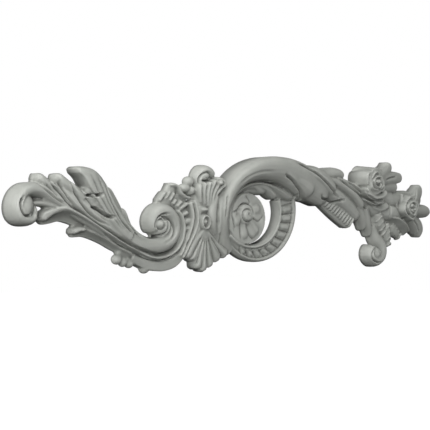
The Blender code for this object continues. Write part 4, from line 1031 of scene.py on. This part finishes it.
@dataclass(frozen=True)
class Roses(Feature):
    """The two roses: cups, petal edges, spread petals and the leaves under them."""

    spread: float = 1.15
    first_rose: Point = (245.0, 39.6)
    second_rose: Point = (332.0, 8.8)

    def petal_rings(self, centre: Point, height: float, rings: Sequence[Ring]) -> list[Form]:
        """Lays rings of overlapping petal edges round a rolled bud.

        Args:
            centre: Middle of the rose in the back plane.
            height: Height of the innermost edges.
            rings: Radius, petal count, edge half width and share of the height of each ring.

        Returns:
            The petal edges.
        """
        bodies = []
        for number, (radius, count, width, top) in enumerate(rings):
            for petal in range(count):
                turn = 360 * petal / count + 50 * number
                half = 205 / count
                start = on_circle(centre, radius * 0.9, turn - half,
                                  self.spread) + (width * 0.7, height * top * 0.95)
                middle = on_circle(centre, radius * 1.04, turn, self.spread) + (width, height * top)
                end = on_circle(centre, radius * 0.96, turn + half,
                                self.spread) + (width * 0.7, height * top * 0.97)
                bodies.append(Stroke(Kind.SPINE, [start, middle, end], round_start=True))
        return bodies

    def forms(self) -> list[Form]:
        """Lays out the forms.

        Returns:
            The solids that blend into the casting.
        """
        first_rings = ((3.6, 2, 1.4, 1), (7, 3, 2.1, 0.99), (11.4, 3, 2.7, 0.95), (15.6, 4, 3, 0.88))
        second_rings = ((4.6, 3, 1.9, 1), (9, 3, 2.5, 0.95), (13.6, 4, 2.8, 0.88))
        first = [
            Cup((245.2, 40.6), 20, 15.8, 28),
            Bead(self.first_rose[0], self.first_rose[1], 28, 2.4, 5.4, 2.4),
            Bead(252, 39, 16, 19, 12.5, 15),
            Stroke(Kind.BAND, [
                (264, 46, 7, 24), (278, 50, 7.4, 20), (291, 56, 6.8, 16.6), (297.6, 65.6, 5.6, 14),
            ], drop=0.2),
            Stroke(Kind.BAND, [
                (264, 42, 8, 24), (284, 44.6, 9.2, 19.5), (306, 46.6, 8.4, 16), (327, 47.4, 5.8, 13),
            ], drop=0.2),
            Stroke(Kind.ROUND, [(266, 32, 9, 22), (290, 35, 10, 18), (316, 35, 8, 14)]),
            Stroke(Kind.RIGHT_CREST, [
                (228, 34, 2.6, 27), (232, 27, 4, 29), (245, 22.6, 4.6, 29), (262, 24.6, 4.6, 28),
                (272, 31, 3.6, 26),
            ], round_start=True),
            Stroke(Kind.RIGHT_CREST, [
                (231, 27, 3.4, 17), (242, 20, 5, 20), (257, 16.6, 5.4, 21), (276, 20, 5, 20),
            ], round_start=True),
            Stroke(Kind.RIGHT_CREST, [
                (248, 17, 4, 15.5), (262, 10.6, 5, 16.5), (276, 9, 5, 16.5), (292, 14, 5, 16),
            ], round_start=True),
        ]
        second = [
            Cup((337, 11), 19, 14.5, 22),
            Stroke(Kind.BAND, [
                (346, 15, 8, 20), (358, 23, 9, 16), (367.8, 30, 9, 13.4), (371.4, 40, 6.2, 12),
            ], drop=0.2),
            Stroke(Kind.ROUND, [
                (346, 6, 8, 21), (362, 5, 9, 18), (381, 5, 9, 15), (391, 4.6, 8, 13), (399, 4, 5.8, 11),
            ], drop=0.2),
            Stroke(Kind.ROUND, [(345, 12, 9, 18), (360, 17, 10, 15), (374, 21, 8, 12)], drop=0.2),
            Stroke(Kind.ROUND, [
                (338, -2, 8, 19), (354, -9, 10, 17), (369, -17.4, 12.6, 14), (373, -29.8, 8.8, 11),
            ], drop=0.2),
            Stroke(Kind.SPINE, [
                (317, 29, 1.6, 12), (311.4, 14, 2.2, 14.4), (316, -4, 1.8, 13),
            ], round_start=True),
            Stroke(Kind.SPINE, [
                (324, 28, 1.6, 15), (318, 12, 2.2, 17.6), (322, -4, 1.8, 16),
            ], round_start=True),
            Stroke(Kind.SPINE, [
                (330, 27, 1.6, 18), (324.6, 11, 2.2, 20.6), (328, -5, 1.8, 19),
            ], round_start=True),
        ]
        joining = [
            Stroke(Kind.ROUND, [(262, 28, 10, 17), (285, 25, 11, 16), (305, 18, 12, 16)]),
            Stroke(Kind.ROUND, [(230, 24, 8, 16), (250, 14, 8, 15), (272, 12, 8, 15)]),
            Stroke(Kind.ROUND, [
                (296, 20, 11, 16), (316, 20, 11, 14), (334, 20.6, 11, 13), (352, 22, 10, 13),
            ]),
            Stroke(Kind.ROUND, [(296, 4, 11, 16), (312, 2, 11, 15), (328, 0, 9, 14)]),
            Stroke(Kind.LEFT_COVE, [
                (298, -6, 3.6, 15), (311, -8.5, 6, 17.5), (322, -13.5, 8, 17.5), (335, -18.6, 7.4, 15),
                (348, -23.6, 3.6, 11),
            ]),
        ]
        edges = self.petal_rings(self.first_rose, 32, first_rings) + self.petal_rings(self.second_rose,
                                                                                      27, second_rings)
        return first + second + joining + edges

    def grooves(self) -> list[Groove]:
        """Lays out the grooves.

        Returns:
            The grooves to press into the blended face.
        """
        return [
            Groove([(350, 38), (346, 28), (340, 20)], 1.5, 2),
            Groove([(358, 32), (352, 23), (345, 16)], 1.5, 2),
            Groove([(272, 62), (266, 54), (259, 49)], 1.5, 1.6),
            Groove([(306, 48), (290, 46), (276, 43)], 1.5, 1.6),
            Groove([(366, -22), (356, -13), (344, -6)], 1.5, 1.8),
            Groove([
                (self.second_rose[0] - 1, self.second_rose[1]),
                self.second_rose,
                (self.second_rose[0] + 1, self.second_rose[1]),
            ], 2.4, 7),
        ]


@dataclass(frozen=True)
class SmallLeaves(Feature):
    """Serrated leaves beside the lower curl and under the second rose."""

    def serrated(self, root: Point, tip: Point, width: float, height: float) -> list[Form]:
        """Lays one leaf with a midrib and slanted side veins.

        Args:
            root: Where the leaf grows from.
            tip: Its point.
            width: Half width of its blade.
            height: Height of its midrib.

        Returns:
            The blade and its veins.
        """
        middle = (mix(root[0], tip[0], 0.45), mix(root[1], tip[1], 0.45))
        bodies = [
            Stroke(Kind.ROUND, [
                root + (width * 0.6, height - 2),
                middle + (width, height - 1.5),
                tip + (width * 0.5, height - 4),
            ]),
        ]
        along = Vector((tip[0] - root[0], tip[1] - root[1])).normalized()
        across = Vector((-along.y, along.x))
        for number in range(4):
            share = mix(0.12, 0.8, number / 3)
            foot = Vector((mix(root[0], tip[0], share), mix(root[1], tip[1], share)))
            for side in (-1, 1):
                end = foot + across * side * width * mix(1.0, 0.6, share) + along * 5
                bodies.append(
                    Stroke(Kind.SPINE, [(foot.x, foot.y, 1.3, height), (end.x, end.y, 1.3, height - 4)]),
                )
        return bodies

    def forms(self) -> list[Form]:
        """Lays out the forms.

        Returns:
            The solids that blend into the casting.
        """
        return (self.serrated((268, 2), (281, -25), 10, 20)
                + self.serrated((296, -10), (300, -41), 6.8, 13.5)
                + self.serrated((310, -12), (330, -28), 8.4, 11))


@dataclass(frozen=True)
class LowerCurl(Feature):
    """Curl that hangs below the leaves at the rose end."""

    def forms(self) -> list[Form]:
        """Lays out the forms.

        Returns:
            The solids that blend into the casting.
        """
        return [
            Stroke(Kind.TUBE, [
                (264, -12, 8, 12), (270, -26, 9, 14), (279.6, -38, 8.8, 17), (278.6, -50, 8.4, 17.6),
                (266, -56.4, 7.6, 17.6), (254.8, -50, 7.2, 17.2), (255.8, -42.4, 6.2, 16.8),
                (263, -40, 4.4, 16),
            ]),
            Bead(266, -48, 8, 11, 9.4, 9),
        ]

    def grooves(self) -> list[Groove]:
        """Lays out the grooves.

        Returns:
            The grooves to press into the blended face.
        """
        return [
            Groove([
                (266, -40.2), (259, -41), (253.6, -45), (252.8, -50), (256.4, -54.8), (264, -57.4),
                (271, -58),
            ], 1.5, 4),
        ]


@dataclass(frozen=True)
class Sock:
    """One output of a shader node, with arithmetic written as Python expressions."""

    tree: bpy.types.NodeTree
    out: bpy.types.NodeSocket

    def math(self, operation: str, left: Any, right: Any) -> "Sock":
        """Adds a Math node.

        Args:
            operation: What it works out.
            left: First value, a socket or a number.
            right: Second value, a socket or a number.

        Returns:
            The node's output.
        """
        return Shader(self.tree).node("ShaderNodeMath", {"operation": operation}, {0: left, 1: right})

    def __add__(self, other: Any) -> "Sock":
        """Sum."""
        return self.math("ADD", self, other)

    def __radd__(self, other: Any) -> "Sock":
        """Sum with a number on the left."""
        return self.math("ADD", other, self)

    def __sub__(self, other: Any) -> "Sock":
        """Difference."""
        return self.math("SUBTRACT", self, other)

    def __rsub__(self, other: Any) -> "Sock":
        """Difference from a number on the left."""
        return self.math("SUBTRACT", other, self)

    def __mul__(self, other: Any) -> "Sock":
        """Product."""
        return self.math("MULTIPLY", self, other)

    def __rmul__(self, other: Any) -> "Sock":
        """Product with a number on the left."""
        return self.math("MULTIPLY", other, self)

    def clamped(self) -> "Sock":
        """The value held between 0 and 1."""
        return Shader(self.tree).node("ShaderNodeClamp", {}, {0: self})


@dataclass(frozen=True)
class Shader:
    """Node tree of one material."""

    tree: bpy.types.NodeTree

    def node(self, kind: str, settings: Links, inputs: dict[Any, Any], output: int | str = 0) -> Sock:
        """Adds a node of any type.

        Args:
            kind: The node's type.
            settings: Its own settings, which are set first.
            inputs: Values or links of its sockets, by name or number.
            output: Which output is wanted.

        Returns:
            That output.
        """
        made = self.tree.nodes.new(kind)
        for name, value in settings.items():
            setattr(made, name, value)
        for name, value in inputs.items():
            if isinstance(value, Sock):
                self.tree.links.new(value.out, made.inputs[name])
            else:
                made.inputs[name].default_value = value
        return Sock(self.tree, made.outputs[output])

    def blend(self, share: Sock, low: Any, high: Any) -> Sock:
        """Mixes two colours.

        Args:
            share: How much of the second.
            low: First colour.
            high: Second colour.

        Returns:
            The mixed colour.
        """
        mixed = {"Factor": share, 6: low, 7: high}
        return self.node("ShaderNodeMix", {"data_type": "RGBA"}, mixed, 2)


@dataclass(frozen=True)
class PrimerFinish:
    """Matt grey primer over a cast surface, with painted highlight on ridges and painted shade in hollows and
    creases.
    """

    name: str = SLOT
    paint: tuple[float, float, float, float] = (0.285, 0.295, 0.272, 1)
    # Pale colour painted onto ridges and convex edges as a highlight.
    edge: tuple[float, float, float, float] = (0.47, 0.48, 0.45, 1)
    # Dark colour painted into hollows and creases as shade.
    shade_colour: tuple[float, float, float, float] = (0.105, 0.107, 0.098, 1)
    mottle: tuple[float, float, float, float] = (0.33, 0.335, 0.31, 1)
    roughness: float = 0.55
    mottle_scale: float = 55.0
    grain_scale: float = 1900.0
    cloud_scale: float = 14.0
    mottle_middle: float = 0.42
    mottle_strength: float = 1.6
    cloud_strength: float = 0.9
    # Weights of the painted highlight on ridges, its mottling and its cover.
    ridge_light_weight: float = 0.9
    ridge_light_mottle: float = 0.3
    ridge_light_cover: float = 0.55
    # Weights of the painted shade in hollows and creases, its mottling and the roughness it adds.
    hollow_shade_weight: float = 0.75
    crease_shade_weight: float = 0.6
    shade_mottle: float = 0.2
    grain_roughness: float = 0.16
    shade_roughness: float = 0.2
    ridge_polish: float = 0.08
    grain_relief: float = 0.5
    mottle_relief: float = 0.9
    bump_strength: float = 0.22
    bump_height: float = 0.0004
    gloss: float = 0.4

    def material(self) -> bpy.types.Material:
        """Builds the material.

        Returns:
            The primer, with its grain, mottling, painted highlight on ridges and painted shade in hollows and
            creases.
        """
        material = bpy.data.materials.new(self.name)
        material.use_nodes = True
        shader = Shader(material.node_tree)
        surface = material.node_tree.nodes["Principled BSDF"]
        place = shader.node("ShaderNodeTexCoord", {}, {}, "Object")

        def noise(scale: float, detail: float) -> Sock:
            """Soft noise at a scale."""
            sockets = {"Vector": place, "Scale": scale, "Detail": detail}
            return shader.node("ShaderNodeTexNoise", {}, sockets, "Fac")

        hollow = shader.node("ShaderNodeAttribute", {"attribute_name": "hollow"}, {}, "Fac")
        crease = shader.node("ShaderNodeAttribute", {"attribute_name": "crease"}, {}, "Fac")
        clouds = noise(self.cloud_scale, 3)
        patches = noise(self.mottle_scale, 5)
        grain = noise(self.grain_scale, 2)
        mottled = (patches - self.mottle_middle) * self.mottle_strength
        uneven = (mottled + (clouds - 0.5) * self.cloud_strength).clamped()
        painted = shader.blend(uneven, self.paint, self.mottle)
        # Painted highlight: convex ridges are lightened as if they caught more light.
        raised = ((0 - crease) * self.ridge_light_weight + (patches - 0.5) * self.ridge_light_mottle).clamped()
        ridge_lit = shader.blend(raised * self.ridge_light_cover, painted, self.edge)
        # Painted shade: the primer is darkened in hollows and creases where shade falls.
        painted_shade = hollow * self.hollow_shade_weight + crease * self.crease_shade_weight
        shade_mask = (painted_shade + (patches - 0.5) * self.shade_mottle).clamped()
        coloured = shader.blend(shade_mask, ridge_lit, self.shade_colour)
        grained = self.roughness + (grain - 0.5) * self.grain_roughness
        rough = (grained + shade_mask * self.shade_roughness - raised * self.ridge_polish).clamped()
        relief = grain * self.grain_relief + patches * self.mottle_relief
        sockets = {"Strength": self.bump_strength, "Distance": self.bump_height, "Height": relief}
        bump = shader.node("ShaderNodeBump", {}, sockets, "Normal")
        surface.inputs["Metallic"].default_value = 0
        surface.inputs["Specular IOR Level"].default_value = self.gloss
        shader.tree.links.new(coloured.out, surface.inputs["Base Color"])
        shader.tree.links.new(rough.out, surface.inputs["Roughness"])
        shader.tree.links.new(bump.out, surface.inputs["Normal"])
        return material


def vertex_values(mesh: bpy.types.Mesh, name: str) -> numpy.ndarray:
    """Reads a vector of every vertex.

    Args:
        mesh: The mesh.
        name: Which vector, co or normal.

    Returns:
        One row for each vertex.
    """
    values = numpy.zeros(len(mesh.vertices) * 3)
    mesh.vertices.foreach_get(name, values)
    return values.reshape(-1, 3)


@dataclass
class Casting:
    """The whole onlay: its features blended, grooved, thinned and cut flat at the back."""

    features: Sequence[Feature]
    finish: PrimerFinish
    voxel: float = 0.75
    soften_factor: float = 0.5
    soften_passes: int = 2
    triangles: int = 190000
    fine_passes: int = 6
    broad_passes: int = 90
    fine_depth: float = 0.35
    broad_depth: float = 4.0
    mark_passes: int = 2
    face_limit: float = -0.15
    groove_ends: float = 8.0
    groove_start: float = 0.25
    groove_shape: float = 1.5

    def joined(self) -> bpy.types.Object:
        """Joins the features' solids into one mesh.

        Returns:
            The object, in metres.
        """
        whole = bmesh.new()
        for feature in self.features:
            forms = feature.forms()
            for form in forms:
                piece = bpy.data.meshes.new("piece")
                solid = form.body()
                solid.to_mesh(piece)
                solid.free()
                whole.from_mesh(piece)
                bpy.data.meshes.remove(piece)
            log.info("%s: %d forms, %d grooves", type(feature).__name__, len(forms), len(feature.grooves()))
        bmesh.ops.scale(whole, vec=(MM, MM, MM), verts=whole.verts)
        mesh = bpy.data.meshes.new("carved_onlay")
        whole.to_mesh(mesh)
        whole.free()
        onlay = bpy.data.objects.new("carved_onlay", mesh)
        bpy.context.scene.collection.objects.link(onlay)
        return onlay

    def fitted(self, onlay: bpy.types.Object) -> None:
        """Stretches the carved mesh about the origin to the length, depth and height of the frame's node.

        Args:
            onlay: The carved object.
        """
        low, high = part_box(NODE)
        places = vertex_values(onlay.data, "co")
        span = places.max(axis=0) - places.min(axis=0)
        across = (high.x - low.x) / span[0]
        deep = low.y / places[:, 1].min()
        tall = (high.z - low.z) / span[2]
        onlay.data.transform(Matrix.Diagonal((across, deep, tall, 1)))

    def baked(self, onlay: bpy.types.Object) -> None:
        """Replaces a mesh by its evaluated one.

        Args:
            onlay: The object, whose modifiers are cleared.
        """
        bpy.context.view_layer.update()
        evaluated = onlay.evaluated_get(bpy.context.evaluated_depsgraph_get())
        onlay.data = bpy.data.meshes.new_from_object(evaluated)
        onlay.modifiers.clear()

    def blended(self, onlay: bpy.types.Object) -> None:
        """Blends the joined solids into one skin.

        Args:
            onlay: The object that holds them.
        """
        remesh = onlay.modifiers.new("Blend", "REMESH")
        remesh.mode = "VOXEL"
        remesh.voxel_size = self.voxel * MM
        soften = onlay.modifiers.new("Soften", "SMOOTH")
        soften.factor = self.soften_factor
        soften.iterations = self.soften_passes
        self.baked(onlay)

    def carved(self, onlay: bpy.types.Object) -> None:
        """Presses the grooves into the face.

        Args:
            onlay: The blended object.
        """
        mesh = onlay.data
        places = vertex_values(mesh, "co") / MM
        facing = vertex_values(mesh, "normal")[:, 1] < self.face_limit
        for groove in (cut for feature in self.features for cut in feature.grooves()):
            stations = [(x, z, 0, 0) for x, z in groove.path]
            samples = numpy.array([tuple(point)[:2] for _, point in smooth_path(stations, GROOVE_PITCH)[0]])
            low = samples.min(axis=0) - groove.half_width
            high = samples.max(axis=0) + groove.half_width
            flat = places[:, ::2]
            near = numpy.flatnonzero(facing & ((flat > low) & (flat < high)).all(axis=1))
            gaps = flat[near][:, None, :] - samples[None, :, :]
            distances = numpy.sqrt((gaps ** 2).sum(axis=2))
            reach = distances.min(axis=1) / groove.half_width
            along = distances.argmin(axis=1) / max(1, len(samples) - 1)
            ends = numpy.clip(numpy.minimum(along, 1 - along) * self.groove_ends, self.groove_start, 1)
            press = groove.depth * ends * numpy.clip(1 - reach ** 2, 0, 1) ** self.groove_shape
            level = places[near, 1]
            pressed = numpy.minimum(level + press, numpy.maximum(level, -GROOVE_FLOOR))
            places[near, 1] = numpy.where(press > 0, pressed, level)
        mesh.vertices.foreach_set("co", (places * MM).ravel())
        mesh.update()

    def thinned(self, onlay: bpy.types.Object) -> None:
        """Takes out triangles that the form doesn't need.

        Args:
            onlay: The carved object.
        """
        thin = onlay.modifiers.new("Thin", "DECIMATE")
        thin.ratio = min(1.0, self.triangles / (2 * len(onlay.data.polygons)))
        thin.use_collapse_triangulate = True
        self.baked(onlay)

    def cut_flat(self, onlay: bpy.types.Object) -> None:
        """Cuts the back off flat in the wall's plane and closes it.

        Args:
            onlay: The thinned object.
        """
        solid = bmesh.new()
        solid.from_mesh(onlay.data)
        everything = solid.verts[:] + solid.edges[:] + solid.faces[:]
        bmesh.ops.bisect_plane(
            solid, geom=everything, plane_co=(0, 0, 0), plane_no=(0, 1, 0), clear_outer=True
        )
        rim = [edge for edge in solid.edges if edge.is_boundary]
        bmesh.ops.triangle_fill(solid, edges=rim, use_beauty=True, normal=(0, 1, 0))
        bmesh.ops.recalc_face_normals(solid, faces=solid.faces)
        solid.to_mesh(onlay.data)
        solid.free()

    def marked(self, onlay: bpy.types.Object) -> None:
        """Notes on each vertex how far it lies in a hollow, at a broad and a fine scale.

        Args:
            onlay: The finished object.
        """
        mesh = onlay.data
        places = vertex_values(mesh, "co")
        normals = vertex_values(mesh, "normal")
        ends = numpy.zeros(len(mesh.edges) * 2, dtype=numpy.int64)
        mesh.edges.foreach_get("vertices", ends)
        first, second = ends.reshape(-1, 2).T
        count = len(places)
        sharing = numpy.bincount(first, minlength=count) + numpy.bincount(second, minlength=count)

        def relaxed(values: numpy.ndarray, passes: int) -> numpy.ndarray:
            """Averages each vertex with its neighbours, again and again.

            Args:
                values: One row for each vertex.
                passes: How many times.

            Returns:
                The averaged rows.
            """
            for _ in range(passes):
                total = numpy.zeros_like(values)
                for axis in range(values.shape[1]):
                    total[:, axis] = numpy.bincount(first, values[second, axis], count)
                    total[:, axis] += numpy.bincount(second, values[first, axis], count)
                values = (values + total / sharing[:, None]) / 2
            return values

        # The hollow and crease marks drive the primer's painted shade in hollows and painted highlight on
        # ridges.
        for name, passes, depth in (
            ("crease", self.fine_passes, self.fine_depth), ("hollow", self.broad_passes, self.broad_depth)
        ):
            lift = ((relaxed(places, passes) - places) * normals).sum(axis=1) / (depth * MM)
            lift = relaxed(lift[:, None], self.mark_passes)[:, 0]
            mark = mesh.attributes.new(name, "FLOAT", "POINT")
            mark.data.foreach_set("value", numpy.clip(lift, -1, 1).astype(numpy.float32))

    def build(self) -> bpy.types.Object:
        """Makes the dressed onlay in place of the frame's node.

        Returns:
            The object.
        """
        onlay = self.joined()
        self.blended(onlay)
        self.carved(onlay)
        self.fitted(onlay)
        self.thinned(onlay)
        self.cut_flat(onlay)
        self.marked(onlay)
        onlay.data.materials.clear()
        onlay.data.materials.append(self.finish.material())
        onlay.data.shade_smooth()
        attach(onlay, "root")
        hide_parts(NODE)
        log.info("%s: %d triangles", onlay.name, len(onlay.data.polygons))
        return onlay


@dataclass(frozen=True)
class Lamp:
    """A soft light: turn round the onlay from its front, rise above it, side in metres and watts."""

    name: str
    turn: float
    rise: float
    size: float
    power: float


@dataclass
class Studio:
    """Pale floor, soft lights and the camera."""

    lamps: Sequence[Lamp] = (
        Lamp("front", -45, 10, 1.0, 30),
        Lamp("top", -20, 65, 1.0, 21),
        Lamp("left", -100, 18, 1.0, 15),
        Lamp("upper_left", -70, 40, 1.0, 8),
        Lamp("low", -20, -25, 1.0, 14),
        Lamp("right", 45, -15, 1.0, 12),
    )
    lamp_distance: float = 2.0

    view_distance: float = 0.8
    view_turn: float = 45.0
    focal_pixels: float = 800.0
    frame_pixels: float = 430.0
    sensor: float = 36.0
    floor_drop: float = 0.5
    floor_size: float = 8.0
    floor_colour: tuple[float, float, float, float] = (0.95, 0.95, 0.95, 1)
    floor_roughness: float = 0.9
    white: tuple[float, float, float, float] = (1, 1, 1, 1)
    world_light: float = 0.02

    def floor(self) -> None:
        """Lays a pale floor well below the onlay."""
        plane = bmesh.new()
        low = Matrix.Translation((0, 0, -self.floor_drop))
        bmesh.ops.create_grid(plane, x_segments=4, y_segments=4, size=self.floor_size / 2, matrix=low)
        mesh = bpy.data.meshes.new("floor")
        plane.to_mesh(mesh)
        plane.free()
        floor = bpy.data.objects.new("floor", mesh)
        bpy.context.scene.collection.objects.link(floor)
        material = bpy.data.materials.new("pale_floor")
        material.use_nodes = True
        surface = material.node_tree.nodes["Principled BSDF"]
        surface.inputs["Base Color"].default_value = self.floor_colour
        surface.inputs["Roughness"].default_value = self.floor_roughness
        surface.inputs["Emission Color"].default_value = self.white
        surface.inputs["Emission Strength"].default_value = 1
        mesh.materials.append(material)
        floor.visible_diffuse = False
        floor.visible_glossy = False

    def camera(self) -> None:
        """Sets the camera level with the onlay, turned to it from the left."""
        turn = math.radians(self.view_turn)
        lens = bpy.data.cameras.new("camera")
        lens.sensor_width = self.sensor
        lens.lens = self.sensor * self.focal_pixels / self.frame_pixels
        camera = bpy.data.objects.new("camera", lens)
        camera.location = (-self.view_distance * math.sin(turn), -self.view_distance * math.cos(turn), 0)
        camera.rotation_euler = (math.radians(90), 0, -turn)
        bpy.context.scene.collection.objects.link(camera)
        bpy.context.scene.camera = camera

    def light(self, lamp: Lamp) -> None:
        """Hangs a square soft light that points at the onlay's middle.

        Args:
            lamp: Its direction, size and power.
        """
        turn = math.radians(lamp.turn)
        rise = math.radians(lamp.rise)
        away = Vector((math.sin(turn) * math.cos(rise), -math.cos(turn) * math.cos(rise), math.sin(rise)))
        square = bpy.data.lights.new(lamp.name, "AREA")
        square.size = lamp.size
        square.energy = lamp.power
        hung = bpy.data.objects.new(lamp.name, square)
        hung.location = away * self.lamp_distance
        hung.rotation_euler = (-away).to_track_quat("-Z", "Y").to_euler()
        bpy.context.scene.collection.objects.link(hung)

    def sky(self) -> None:
        """Makes the surroundings white to the eye and dimmer as a light."""
        world = bpy.data.worlds.new("studio")
        world.use_nodes = True
        bpy.context.scene.world = world
        tree = world.node_tree
        shader = Shader(tree)
        seen = shader.node("ShaderNodeLightPath", {}, {}, "Is Camera Ray")
        strength = seen * (1 - self.world_light) + self.world_light
        background = tree.nodes["Background"]
        background.inputs["Color"].default_value = self.white
        tree.links.new(strength.out, background.inputs["Strength"])

    def build(self) -> None:
        """Sets up the whole studio."""
        self.camera()
        self.floor()
        self.sky()
        for lamp in self.lamps:
            self.light(lamp)
        bpy.context.scene.view_settings.view_transform = "Standard"


def main() -> None:
    """Builds the studio and the onlay."""
    logging.basicConfig(level=logging.INFO, format="%(name)s: %(message)s")
    Studio().build()
    features: list[Feature] = [
        EndCurl(), LeftLeaf(), Volute(), Ear(), Shell(), RingScroll(), Rosette(), InnerLeaf(), ArcLeaves(),
        Fern(), HangingLobes(), Roses(), SmallLeaves(), LowerCurl(),
    ]
    Casting(features, PrimerFinish()).build()


if __name__ == "__main__":
    main()
